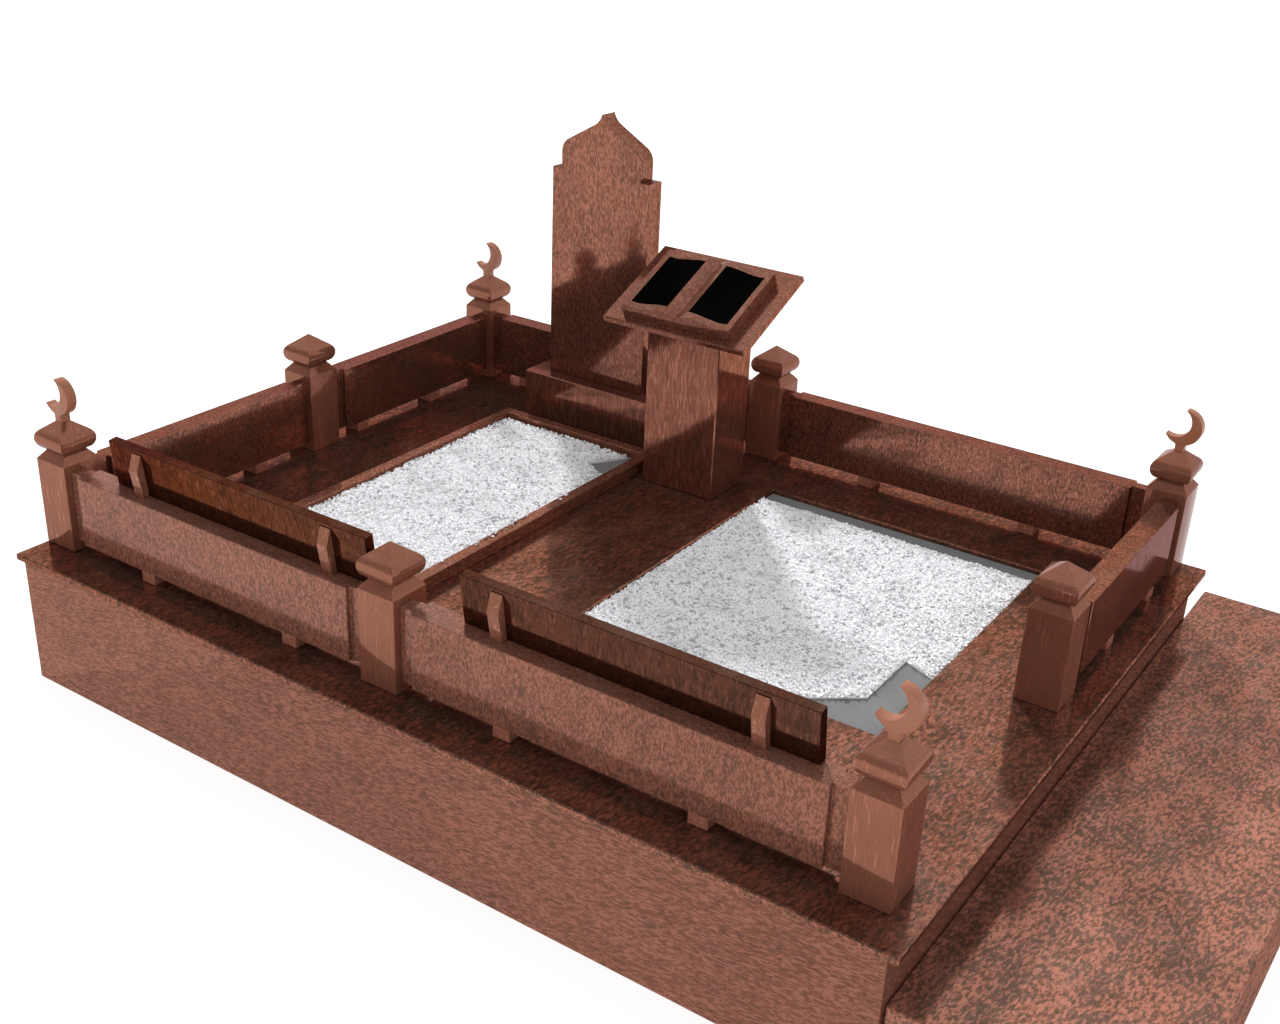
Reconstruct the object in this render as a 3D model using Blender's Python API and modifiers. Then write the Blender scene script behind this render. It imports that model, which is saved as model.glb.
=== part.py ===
"""Double grave memorial of polished red granite.

A block base with a thin deck slab on it and a low step block along its right side.
Eight capped posts and seven low panels fence the deck, with an entrance on the right.
Inside stand a headstone on a plinth, a lectern with an open stone book and two beds of
white chips. Lengths are in metres, +Z is up and the ground is z = 0.
"""
import math

import bmesh
import bpy

# Fits between stones and the worked edges
FIT = 0.0003
ARRIS = 0.003
FINE_ARRIS = 0.0015

# Base block, deck slab and step block
DECK_LENGTH = 2.522
DECK_WIDTH = 1.904
DECK_THICKNESS = 0.019
BASE_HEIGHT = 0.352
OVERHANG_LEFT = 0.015
OVERHANG_RIGHT = 0.026
OVERHANG_FRONT = 0.011
OVERHANG_BACK = 0.023
STEP_DEPTH = 0.528
STEP_LENGTH = 2.045
STEP_HEIGHT = 0.227
STEP_SETBACK = 0.019

# Posts: a square shaft, a sloped shoulder and a cushion cap with a low pyramid
POST_SIDE = 0.108
SHAFT_HEIGHT = 0.239
SHOULDER_RISE = 0.024
NECK_SIDE = 0.066
CAP_SIDE = 0.109
CAP_UNDERSIDE_RISE = 0.030
CAP_ROLL_RISE = 0.024
CAP_ROLL_INSET = 0.0125
CAP_PITCH = math.radians(37.0)
POST_INSET_LEFT = 0.003
POST_INSET_RIGHT = 0.066
POST_INSET_FRONT = 0.097
POST_INSET_BACK = 0.003
MID_POST_X = 1.128
MID_POST_Y = 0.957

# Crescent finials on the four corner posts
STEM_WIDTH = 0.023
STEM_MARGIN = 0.0015
STEM_RISE = 0.019
STEM_FILLET = 0.007
CRESCENT_RADIUS = 0.048
CRESCENT_HOLLOW_RADIUS = 0.0417
CRESCENT_HOLLOW_OFFSET = 0.0256
CRESCENT_OPENING = math.radians(150.0)
CRESCENT_THICKNESS = 0.028

# Fence panels, the feet under them and their recessed ends
PANEL_HEIGHT = 0.191
PANEL_THICKNESS = 0.060
FRONT_PANEL_THICKNESS = 0.072
PANEL_SETBACK = 0.006
TONGUE_LENGTH = 0.041
TONGUE_RECESS = 0.013
FOOT_LENGTH = 0.047
FOOT_HEIGHT = 0.029
FOOT_SETBACK = 0.001

# Distances from each end of a panel to the nearest face of the foot there
FOOT_INSETS_FRONT_LEFT = (0.260, 0.213)
FOOT_INSETS_FRONT_RIGHT = (0.271, 0.294)
FOOT_INSETS_BACK_LEFT = (0.118, 0.198)
FOOT_INSETS_BACK_RIGHT = (0.281, 0.282)
FOOT_INSETS_LEFT_FRONT = (0.217, 0.178)
FOOT_INSETS_LEFT_BACK = (0.090, 0.256)
FOOT_INSETS_RIGHT = (0.237, 0.130)

# Leaning tablets on the front panels, clear of the posts, and the bent brackets before them
TABLET_LEFT_GAPS = (0.148, 0.003)
TABLET_RIGHT_GAPS = (0.158, 0.088)
TABLET_HEIGHT = 0.124
TABLET_THICKNESS = 0.026
TABLET_LEAN = math.radians(7.5)
TABLET_BACK_MARGIN = 0.001
BRACKET_WIDTH = 0.031
BRACKET_FOOT = 0.018
BRACKET_KNEE = 0.021
BRACKET_KNEE_HEIGHT = 0.072
BRACKET_TOP = 0.002
BRACKET_TOP_HEIGHT = 0.113
BRACKET_INSETS = (0.088, 0.106)

# Headstone and its plinth
PLINTH_LENGTH = 0.475
PLINTH_DEPTH = 0.168
PLINTH_HEIGHT = 0.149
PLINTH_X = 0.400
PLINTH_BACK_GAP = 0.116
HEADSTONE_WIDTH = 0.355
HEADSTONE_THICKNESS = 0.065
HEADSTONE_SHOULDER_HEIGHT = 0.656
HEADSTONE_SHOULDER_WIDTH = 0.033
HEADSTONE_ARCH_SPRING = 0.052
HEADSTONE_ARCH_HAUNCH = 0.040
HEADSTONE_SLOPE_RUN = 0.095
HEADSTONE_SLOPE_RISE = 0.054
HEADSTONE_TIP_RISE = 0.032
HEADSTONE_HAUNCH_RUN = 0.025
HEADSTONE_TIP_SWEEP = 0.35

# Lectern: column, sloping plate and open book
COLUMN_WIDTH = 0.240
COLUMN_DEPTH = 0.177
COLUMN_SETBACK = 0.067
PLATE_LENGTH = 0.467
PLATE_SLOPE_LENGTH = 0.340
PLATE_THICKNESS = 0.020
PLATE_TILT = math.radians(24.6)
PLATE_FRONT_HEIGHT = 0.499
LECTERN_X = 1.115
LECTERN_BACK_GAP = 0.195
BOOK_WIDTH = 0.352
BOOK_LENGTH = 0.262
BOOK_MARGIN = 0.024
BOOK_SPINE_HEIGHT = 0.029
BOOK_CREST_HEIGHT = 0.047
BOOK_CREST_OFFSET = 0.040
BOOK_HOLLOW_HEIGHT = 0.033
BOOK_HOLLOW_OFFSET = 0.138
BOOK_EDGE_HEIGHT = 0.037

# Raised left bed and the right bed let into the deck
LEFT_BED_X = 0.387
LEFT_BED_LENGTH = 0.576
LEFT_BED_FRONT_GAP = 0.056
LEFT_BED_BACK_GAP = 0.071
KERB_WIDTH = 0.034
KERB_HEIGHT = 0.037
LEFT_BACKING_HEIGHT = 0.012
LEFT_CHIPS_DEPTH = 0.020
RIGHT_BED_X = 1.337
RIGHT_BED_SIDE_GAP = 0.182
RIGHT_BED_FRONT_GAP = 0.417
RIGHT_BED_BACK_GAP = 0.184
RIGHT_BACKING_HEIGHT = 0.007
RIGHT_CHIPS_DEPTH = 0.0105
BED_CLEARANCE = 0.002
# Bare patches of the chips: a strip along the back, and a near corner or a side notch
LEFT_BARE_STRIP = 0.018
LEFT_NOTCH_DEPTH = 0.108
LEFT_NOTCH_START = 0.170
LEFT_NOTCH_TIP = 0.115
LEFT_NOTCH_MOUTH = 0.034
RIGHT_BARE_STRIP = 0.055
BARE_CORNER_RUN = 0.263
BARE_CORNER_RISE = 0.304
BARE_CORNER_INSET = 0.088
BARE_CORNER_NEAR = 0.136
BARE_CORNER_FAR = 0.341

# Number of steps in the round stretches
ARC_STEPS = 10
CRESCENT_STEPS = 28

# Dependent sizes
DECK_TOP = BASE_HEIGHT + FIT + DECK_THICKNESS
BASE_RIGHT = DECK_LENGTH - OVERHANG_RIGHT
STEP_LEFT = BASE_RIGHT + FIT
TOTAL_LENGTH = STEP_LEFT + STEP_DEPTH
STEP_FRONT = OVERHANG_FRONT + STEP_SETBACK
TOTAL_WIDTH = max(DECK_WIDTH, STEP_FRONT + STEP_LENGTH)
CAP_WAIST = SHAFT_HEIGHT + SHOULDER_RISE
CAP_EQUATOR = CAP_WAIST + CAP_UNDERSIDE_RISE
CAP_ROLL_TOP = CAP_EQUATOR + CAP_ROLL_RISE
POST_HEIGHT = CAP_ROLL_TOP + (CAP_SIDE / 2 - CAP_ROLL_INSET) * math.tan(CAP_PITCH)
SEAT_HALF = STEM_WIDTH / 2 + STEM_MARGIN
SEAT_HEIGHT = POST_HEIGHT - SEAT_HALF * math.tan(CAP_PITCH)
CRESCENT_CENTRE = SEAT_HEIGHT + FIT + STEM_RISE + CRESCENT_RADIUS
PANEL_BOTTOM = DECK_TOP + FIT + FOOT_HEIGHT + FIT
PANEL_TOP = PANEL_BOTTOM + PANEL_HEIGHT
FRONT_PANEL_Y = POST_INSET_FRONT + PANEL_SETBACK

POST_X = {
    "left": POST_INSET_LEFT,
    "mid": MID_POST_X,
    "right": DECK_LENGTH - POST_INSET_RIGHT - POST_SIDE,
}
POST_Y = {
    "front": POST_INSET_FRONT,
    "mid": MID_POST_Y,
    "back": DECK_WIDTH - POST_INSET_BACK - POST_SIDE,
}
FRONT_POSTS_BACK = POST_Y["front"] + POST_SIDE
PLINTH_BACK = POST_Y["back"] + POST_SIDE - PLINTH_BACK_GAP
PLINTH_FRONT = PLINTH_BACK - PLINTH_DEPTH
LECTERN_Y = POST_Y["back"] - LECTERN_BACK_GAP - COLUMN_DEPTH - COLUMN_SETBACK
LEFT_BED_FRONT = FRONT_POSTS_BACK + LEFT_BED_FRONT_GAP
LEFT_BED_BACK = PLINTH_FRONT - LEFT_BED_BACK_GAP
RIGHT_BED_RIGHT = POST_X["right"] - RIGHT_BED_SIDE_GAP
RIGHT_BED_FRONT = FRONT_POSTS_BACK + RIGHT_BED_FRONT_GAP
RIGHT_BED_BACK = POST_Y["back"] - RIGHT_BED_BACK_GAP


def clear_scene():
    for item in list(bpy.data.objects):
        bpy.data.objects.remove(item, do_unlink=True)


def make_material(name, colour, roughness, metallic=0.0):
    material = bpy.data.materials.new(name)
    material.use_nodes = True
    shader = material.node_tree.nodes["Principled BSDF"]
    shader.inputs["Base Color"].default_value = (*colour, 1.0)
    shader.inputs["Roughness"].default_value = roughness
    shader.inputs["Metallic"].default_value = metallic
    material.diffuse_color = (*colour, 1.0)
    return material


class Memorial:
    """Holds the collection, the layout empty and the materials of the stones."""

    def __init__(self):
        self.collection = bpy.data.collections.new("double_grave_memorial")
        bpy.context.scene.collection.children.link(self.collection)
        self.origin = self.add_empty("layout", (-TOTAL_LENGTH / 2, -TOTAL_WIDTH / 2, 0.0))
        self.granite = make_material("polished_granite", (0.270, 0.114, 0.074), 0.14)
        self.finial = make_material("finial_granite", (0.392, 0.156, 0.080), 0.40)
        self.chips = make_material("white_chips", (0.800, 0.790, 0.790), 0.75)
        self.backing = make_material("grey_backing", (0.235, 0.235, 0.235), 0.80)

    def add_empty(self, name, location, parent=None, rotation=(0.0, 0.0, 0.0)):
        empty = bpy.data.objects.new(name, None)
        self.collection.objects.link(empty)
        empty.parent = parent
        empty.location = location
        empty.rotation_euler = rotation
        return empty

    def place(self, name, mesh, material, location, rotation=(0.0, 0.0, 0.0), parent=None):
        item = bpy.data.objects.new(name, mesh)
        self.collection.objects.link(item)
        item.parent = parent or self.origin
        item.location = location
        item.rotation_euler = rotation
        if not mesh.materials:
            mesh.materials.append(material)
        return item


def add_arris(item, width):
    """Chamfers the worked edges of a stone."""
    bevel = item.modifiers.new("arris", "BEVEL")
    bevel.width = width
    bevel.segments = 1
    bevel.limit_method = "ANGLE"
    bevel.angle_limit = math.radians(50.0)
    bevel.use_clamp_overlap = True


def box_mesh(name, size):
    """A box centred on its own origin."""
    mesh = bpy.data.meshes.new(name)
    shape = bmesh.new()
    bmesh.ops.create_cube(shape, size=1.0)
    bmesh.ops.scale(shape, vec=size, verts=shape.verts)
    shape.to_mesh(mesh)
    shape.free()
    return mesh


def add_box(memorial, name, low, high, material, arris=ARRIS):
    size = [high[axis] - low[axis] for axis in range(3)]
    middle = [(high[axis] + low[axis]) / 2 for axis in range(3)]
    item = memorial.place(name, box_mesh(name, size), material, middle)
    if arris:
        add_arris(item, arris)
    return item


def outline_mesh(name, outlines, thickness):
    """A flat plate in X-Y, centred on z = 0, from an outer outline and its holes."""
    curve = bpy.data.curves.new(name + "_outline", "CURVE")
    curve.dimensions = "2D"
    curve.fill_mode = "BOTH"
    curve.extrude = thickness / 2
    for outline in outlines:
        spline = curve.splines.new("POLY")
        spline.points.add(len(outline) - 1)
        for point, (x, y) in zip(spline.points, outline):
            point.co = (x, y, 0.0, 1.0)
        spline.use_cyclic_u = True
    guide = bpy.data.objects.new(name + "_outline", curve)
    bpy.context.scene.collection.objects.link(guide)
    evaluated = guide.evaluated_get(bpy.context.evaluated_depsgraph_get())
    mesh = bpy.data.meshes.new_from_object(evaluated)
    mesh.name = name
    bpy.data.objects.remove(guide, do_unlink=True)
    bpy.data.curves.remove(curve)
    shape = bmesh.new()
    shape.from_mesh(mesh)
    bmesh.ops.remove_doubles(shape, verts=shape.verts, dist=0.00001)
    if len(outlines) == 1:
        bmesh.ops.dissolve_limit(shape, angle_limit=0.001, verts=shape.verts, edges=shape.edges)
    bmesh.ops.recalc_face_normals(shape, faces=shape.faces)
    shape.to_mesh(mesh)
    shape.free()
    return mesh


def rectangle(x_low, y_low, x_high, y_high):
    return [(x_low, y_low), (x_high, y_low), (x_high, y_high), (x_low, y_high)]


def arc(centre, radius, start, end, steps):
    """Points on a circle from one angle to the other, both included."""
    points = []
    for step in range(steps + 1):
        angle = start + (end - start) * step / steps
        points.append((centre[0] + radius * math.cos(angle), centre[1] + radius * math.sin(angle)))
    return points


def bezier(start, control, end, steps):
    """Points of a quadratic curve after its start, its end included."""
    points = []
    for step in range(1, steps + 1):
        share = step / steps
        rest = 1.0 - share
        points.append(tuple(
            rest * rest * start[axis] + 2 * rest * share * control[axis] + share * share * end[axis]
            for axis in range(2)
        ))
    return points


def add_base(memorial):
    add_box(
        memorial, "base_plinth",
        (OVERHANG_LEFT, OVERHANG_FRONT, 0.0),
        (BASE_RIGHT, DECK_WIDTH - OVERHANG_BACK, BASE_HEIGHT),
        memorial.granite,
    )
    add_box(
        memorial, "step_block",
        (STEP_LEFT, STEP_FRONT, 0.0),
        (TOTAL_LENGTH, STEP_FRONT + STEP_LENGTH, STEP_HEIGHT),
        memorial.granite,
    )
    deck = rectangle(0.0, 0.0, DECK_LENGTH, DECK_WIDTH)
    bed = rectangle(RIGHT_BED_X, RIGHT_BED_FRONT, RIGHT_BED_RIGHT, RIGHT_BED_BACK)
    mesh = outline_mesh("deck_slab", [deck, bed], DECK_THICKNESS)
    slab_middle = DECK_TOP - DECK_THICKNESS / 2
    slab = memorial.place("deck_slab", mesh, memorial.granite, (0.0, 0.0, slab_middle))
    add_arris(slab, ARRIS)


def post_profile(has_finial):
    """Half widths and heights of a post, from its top down its side to its foot."""
    cap_half = CAP_SIDE / 2
    neck_half = NECK_SIDE / 2
    shaft_half = POST_SIDE / 2
    roll_half = cap_half - CAP_ROLL_INSET
    if has_finial:
        points = [(0.0, SEAT_HEIGHT), (SEAT_HALF, SEAT_HEIGHT)]
    else:
        points = [(0.0, POST_HEIGHT)]
    roll_start = (roll_half, CAP_ROLL_TOP)
    roll_control = (cap_half, CAP_ROLL_TOP - CAP_ROLL_INSET * math.tan(CAP_PITCH))
    points.append(roll_start)
    points += bezier(roll_start, roll_control, (cap_half, CAP_EQUATOR), ARC_STEPS // 2)
    for step in range(1, ARC_STEPS // 2 + 1):
        angle = math.pi / 2 * step / (ARC_STEPS // 2)
        half = neck_half + (cap_half - neck_half) * math.cos(angle)
        points.append((half, CAP_EQUATOR - CAP_UNDERSIDE_RISE * math.sin(angle)))
    points += [(shaft_half, SHAFT_HEIGHT), (shaft_half, 0.0), (0.0, 0.0)]
    return points


def post_mesh(name, has_finial):
    """The profile as a chain of edges, which four Screw steps turn into a square post."""
    mesh = bpy.data.meshes.new(name)
    shape = bmesh.new()
    corner = math.sqrt(2.0)
    chain = [shape.verts.new((half * corner, 0.0, z)) for half, z in post_profile(has_finial)]
    for upper, lower in zip(chain, chain[1:]):
        shape.edges.new((upper, lower))
    shape.to_mesh(mesh)
    shape.free()
    return mesh


def add_post(memorial, column, row, mesh):
    centre_x = POST_X[column] + POST_SIDE / 2
    centre_y = POST_Y[row] + POST_SIDE / 2
    name = "post_" + column + "_" + row
    post = memorial.place(
        name, mesh, memorial.granite, (centre_x, centre_y, DECK_TOP + FIT), (0.0, 0.0, math.pi / 4)
    )
    turn = post.modifiers.new("square_turn", "SCREW")
    turn.axis = "Z"
    turn.angle = math.tau
    turn.steps = 4
    turn.render_steps = 4
    turn.use_merge_vertices = True
    turn.merge_threshold = 0.0001
    turn.use_smooth_shade = False
    return centre_x, centre_y


def crescent_outline():
    """The moon and its stem, around the centre of the outer circle."""
    half = STEM_WIDTH / 2
    gap = CRESCENT_HOLLOW_OFFSET
    chord = (CRESCENT_RADIUS ** 2 - CRESCENT_HOLLOW_RADIUS ** 2 + gap ** 2) / (2 * gap)
    tip_turn = math.acos(chord / CRESCENT_RADIUS)
    inner_turn = math.acos((chord - gap) / CRESCENT_HOLLOW_RADIUS)
    hollow = (gap * math.cos(CRESCENT_OPENING), gap * math.sin(CRESCENT_OPENING))
    fillet_x = half + STEM_FILLET
    fillet_y = -math.sqrt((CRESCENT_RADIUS + STEM_FILLET) ** 2 - fillet_x ** 2)
    fillet_turn = math.atan2(fillet_y, fillet_x)
    foot = -CRESCENT_RADIUS - STEM_RISE
    down = -math.pi / 2
    points = arc((0, 0), CRESCENT_RADIUS, CRESCENT_OPENING - tip_turn, fillet_turn, CRESCENT_STEPS)
    points += arc((fillet_x, fillet_y), STEM_FILLET, math.pi + fillet_turn, math.pi, 3)[1:]
    points += [(half, foot), (-half, foot)]
    points += arc((-fillet_x, fillet_y), STEM_FILLET, 0.0, -fillet_turn, 3)
    points += arc(
        (0, 0), CRESCENT_RADIUS,
        2 * down - fillet_turn, CRESCENT_OPENING + tip_turn - math.tau, CRESCENT_STEPS // 3,
    )[1:]
    points += arc(
        hollow, CRESCENT_HOLLOW_RADIUS,
        CRESCENT_OPENING + inner_turn, CRESCENT_OPENING + math.tau - inner_turn, CRESCENT_STEPS,
    )[1:-1]
    return points


def add_posts(memorial):
    plain = post_mesh("post_plain", False)
    seated = post_mesh("post_with_seat", True)
    finial = outline_mesh("crescent", [crescent_outline()], CRESCENT_THICKNESS)
    for column in POST_X:
        for row in POST_Y:
            if column == "mid" and row == "mid":
                continue
            if column == "mid" or row == "mid":
                add_post(memorial, column, row, plain)
                continue
            centre_x, centre_y = add_post(memorial, column, row, seated)
            memorial.place(
                "crescent_" + column + "_" + row, finial, memorial.finial,
                (centre_x, centre_y, DECK_TOP + FIT + CRESCENT_CENTRE), (math.pi / 2, 0.0, 0.0),
            )


def panel_outline(length, thickness):
    """A panel's plan, with a thinner tongue at each end."""
    half = length / 2
    face = thickness / 2
    body = half - TONGUE_LENGTH
    tongue = face - TONGUE_RECESS
    return [
        (-half, -tongue), (-body, -tongue), (-body, -face), (body, -face), (body, -tongue),
        (half, -tongue), (half, tongue), (body, tongue), (body, face), (-body, face),
        (-body, tongue), (-half, tongue),
    ]


def add_panel(memorial, name, along_y, start, end, centre, thickness, foot_insets):
    """A panel between two post faces, standing on two feet across its length."""
    start = start + FIT
    end = end - FIT
    middle = (start + end) / 2
    length = end - start
    height = (PANEL_BOTTOM + PANEL_TOP) / 2
    mesh = outline_mesh("panel_" + name, [panel_outline(length, thickness)], PANEL_HEIGHT)
    if along_y:
        panel = memorial.place(
            "panel_" + name, mesh, memorial.granite, (centre, middle, height), (0, 0, math.pi / 2)
        )
    else:
        panel = memorial.place("panel_" + name, mesh, memorial.granite, (middle, centre, height))
    add_arris(panel, FINE_ARRIS)
    foot_depth = thickness - 2 * FOOT_SETBACK
    first = start + foot_insets[0] + FOOT_LENGTH / 2
    second = end - foot_insets[1] - FOOT_LENGTH / 2
    for number, place in enumerate((first, second), 1):
        if along_y:
            low_x, high_x = centre - foot_depth / 2, centre + foot_depth / 2
            low_y, high_y = place - FOOT_LENGTH / 2, place + FOOT_LENGTH / 2
        else:
            low_x, high_x = place - FOOT_LENGTH / 2, place + FOOT_LENGTH / 2
            low_y, high_y = centre - foot_depth / 2, centre + foot_depth / 2
        add_box(
            memorial, "foot_" + name + "_" + str(number),
            (low_x, low_y, DECK_TOP + FIT),
            (high_x, high_y, DECK_TOP + FIT + FOOT_HEIGHT),
            memorial.granite, FINE_ARRIS,
        )


def add_fence(memorial):
    side = POST_SIDE
    front = FRONT_PANEL_Y + FRONT_PANEL_THICKNESS / 2
    back = POST_Y["back"] + PANEL_SETBACK + PANEL_THICKNESS / 2
    left = POST_X["left"] + side - PANEL_SETBACK - PANEL_THICKNESS / 2
    right = POST_X["right"] + side - PANEL_SETBACK - PANEL_THICKNESS / 2
    runs = (
        ("front_left", False, POST_X["left"] + side, POST_X["mid"], front, FOOT_INSETS_FRONT_LEFT),
        ("front_right", False, POST_X["mid"] + side, POST_X["right"], front, FOOT_INSETS_FRONT_RIGHT),
        ("back_left", False, POST_X["left"] + side, POST_X["mid"], back, FOOT_INSETS_BACK_LEFT),
        ("back_right", False, POST_X["mid"] + side, POST_X["right"], back, FOOT_INSETS_BACK_RIGHT),
        ("left_front", True, POST_Y["front"] + side, POST_Y["mid"], left, FOOT_INSETS_LEFT_FRONT),
        ("left_back", True, POST_Y["mid"] + side, POST_Y["back"], left, FOOT_INSETS_LEFT_BACK),
        ("right", True, POST_Y["mid"] + side, POST_Y["back"], right, FOOT_INSETS_RIGHT),
    )
    for name, along_y, start, end, centre, insets in runs:
        thickness = FRONT_PANEL_THICKNESS if name.startswith("front") else PANEL_THICKNESS
        add_panel(memorial, name, along_y, start, end, centre, thickness, insets)


def side_extrusion(memorial, name, profile, low_x, high_x, foot, arris):
    """A profile in Y and Z, drawn from its foot point and extruded along X."""
    mesh = outline_mesh(name, [profile], high_x - low_x)
    item = memorial.place(
        name, mesh, memorial.granite,
        ((low_x + high_x) / 2, foot[0], foot[1]), (math.pi / 2, 0.0, math.pi / 2),
    )
    add_arris(item, arris)
    return item


def tablet_profile():
    """Flat foot, leaning faces and a top square to them, from the front foot edge."""
    lean = math.tan(TABLET_LEAN)
    foot = TABLET_THICKNESS / math.cos(TABLET_LEAN)
    top_back_rise = TABLET_THICKNESS * math.sin(TABLET_LEAN)
    front_top = (-TABLET_HEIGHT * lean, TABLET_HEIGHT)
    back_top = (front_top[0] + TABLET_THICKNESS * math.cos(TABLET_LEAN), TABLET_HEIGHT + top_back_rise)
    return [(0.0, 0.0), (foot, 0.0), back_top, front_top]


def bracket_profile():
    """Bent strip before the tablet's face: foot, knee and top, from the tablet's foot."""
    lean = math.tan(TABLET_LEAN)
    stations = (
        (0.0, BRACKET_FOOT),
        (BRACKET_KNEE_HEIGHT, BRACKET_KNEE),
        (BRACKET_TOP_HEIGHT, BRACKET_TOP),
    )
    face = [(-FIT - height * lean, height) for height, reach in stations]
    front = [(-FIT - height * lean - reach, height) for height, reach in stations]
    return [front[0], face[0], face[2], front[2], front[1]]


def add_tablets(memorial):
    foot_depth = TABLET_THICKNESS / math.cos(TABLET_LEAN)
    foot_y = FRONT_PANEL_Y + FRONT_PANEL_THICKNESS - TABLET_BACK_MARGIN - foot_depth
    foot = (foot_y, PANEL_TOP + FIT)
    sides = (
        ("left", POST_X["left"] + POST_SIDE, POST_X["mid"], TABLET_LEFT_GAPS),
        ("right", POST_X["mid"] + POST_SIDE, POST_X["right"], TABLET_RIGHT_GAPS),
    )
    for side, bay_start, bay_end, gaps in sides:
        low_x = bay_start + gaps[0]
        high_x = bay_end - gaps[1]
        side_extrusion(memorial, "tablet_" + side, tablet_profile(), low_x, high_x, foot, FINE_ARRIS)
        starts = (low_x + BRACKET_INSETS[0], high_x - BRACKET_INSETS[1] - BRACKET_WIDTH)
        for number, start in enumerate(starts, 1):
            side_extrusion(
                memorial, "bracket_" + side + "_" + str(number), bracket_profile(),
                start, start + BRACKET_WIDTH, foot, FIT,
            )


def headstone_outline():
    """Ogee-headed stone with square shoulders, symmetric about x = 0, from its foot."""
    half = HEADSTONE_WIDTH / 2
    arch = half - HEADSTONE_SHOULDER_WIDTH
    spring = (arch, HEADSTONE_SHOULDER_HEIGHT + HEADSTONE_ARCH_SPRING)
    slope_start = (arch - HEADSTONE_HAUNCH_RUN, spring[1] + HEADSTONE_ARCH_HAUNCH)
    slope_end = (slope_start[0] - HEADSTONE_SLOPE_RUN, slope_start[1] + HEADSTONE_SLOPE_RISE)
    pitch = HEADSTONE_SLOPE_RISE / HEADSTONE_SLOPE_RUN
    haunch = (arch, slope_start[1] - (arch - slope_start[0]) * pitch)
    apex = (0.0, slope_end[1] + HEADSTONE_TIP_RISE)
    sweep_x = slope_end[0] * HEADSTONE_TIP_SWEEP
    sweep = (sweep_x, slope_end[1] + (slope_end[0] - sweep_x) * pitch)
    shoulder = HEADSTONE_SHOULDER_HEIGHT
    right = [(half, 0.0), (half, shoulder), (arch, shoulder), spring]
    right += bezier(spring, haunch, slope_start, ARC_STEPS)
    right.append(slope_end)
    right += bezier(slope_end, sweep, apex, ARC_STEPS // 2)
    left = [(-x, y) for x, y in reversed(right[:-1])]
    return right + left


def add_headstone(memorial):
    foot = DECK_TOP + FIT
    plinth_top = foot + PLINTH_HEIGHT
    add_box(
        memorial, "headstone_plinth",
        (PLINTH_X, PLINTH_FRONT, foot), (PLINTH_X + PLINTH_LENGTH, PLINTH_BACK, plinth_top),
        memorial.granite,
    )
    centre = (PLINTH_X + PLINTH_LENGTH / 2, (PLINTH_FRONT + PLINTH_BACK) / 2, plinth_top + FIT)
    mesh = outline_mesh("headstone", [headstone_outline()], HEADSTONE_THICKNESS)
    stone = memorial.place("headstone", mesh, memorial.granite, centre, (math.pi / 2, 0.0, 0.0))
    add_arris(stone, FINE_ARRIS)


def book_outline():
    """Open pages seen from their lower edge: a groove, two crests and two hollows."""
    half = BOOK_WIDTH / 2
    stations = (
        (0.0, BOOK_SPINE_HEIGHT),
        (BOOK_CREST_OFFSET, BOOK_CREST_HEIGHT),
        (BOOK_HOLLOW_OFFSET, BOOK_HOLLOW_HEIGHT),
        (half, BOOK_EDGE_HEIGHT),
    )
    right = [(half, 0.0)]
    for (inner, low), (outer, high) in reversed(list(zip(stations, stations[1:]))):
        for step in range(ARC_STEPS):
            share = 1.0 - step / ARC_STEPS
            if inner == 0.0:
                swell = math.sin(math.pi / 2 * share)
            else:
                swell = (1.0 - math.cos(math.pi * share)) / 2
            right.append((inner + (outer - inner) * share, low + (high - low) * swell))
    left = [(-x, y) for x, y in reversed(right)]
    return right + [(0.0, BOOK_SPINE_HEIGHT)] + left


def add_lectern(memorial):
    front_top = DECK_TOP + FIT + PLATE_FRONT_HEIGHT
    slope = memorial.add_empty(
        "lectern_slope", (LECTERN_X, LECTERN_Y, front_top), memorial.origin, (PLATE_TILT, 0.0, 0.0)
    )
    size = (PLATE_LENGTH, PLATE_SLOPE_LENGTH, PLATE_THICKNESS)
    plate = memorial.place(
        "lectern_plate", box_mesh("lectern_plate", size), memorial.granite,
        (0.0, PLATE_SLOPE_LENGTH / 2, -PLATE_THICKNESS / 2), parent=slope,
    )
    add_arris(plate, ARRIS)
    book_mesh = outline_mesh("lectern_book", [book_outline()], BOOK_LENGTH)
    book = memorial.place(
        "lectern_book", book_mesh, memorial.granite,
        (0.0, BOOK_MARGIN + BOOK_LENGTH / 2, FIT), (math.pi / 2, 0.0, 0.0), parent=slope,
    )
    add_arris(book, FINE_ARRIS)
    rise = math.tan(PLATE_TILT)
    under = (PLATE_THICKNESS + FIT) / math.cos(PLATE_TILT)
    foot = DECK_TOP + FIT
    low = PLATE_FRONT_HEIGHT - under + COLUMN_SETBACK * rise
    high = low + COLUMN_DEPTH * rise
    profile = [(0.0, 0.0), (COLUMN_DEPTH, 0.0), (COLUMN_DEPTH, high), (0.0, low)]
    side_extrusion(
        memorial, "lectern_column", profile,
        LECTERN_X - COLUMN_WIDTH / 2, LECTERN_X + COLUMN_WIDTH / 2,
        (LECTERN_Y + COLUMN_SETBACK, foot), ARRIS,
    )


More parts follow.
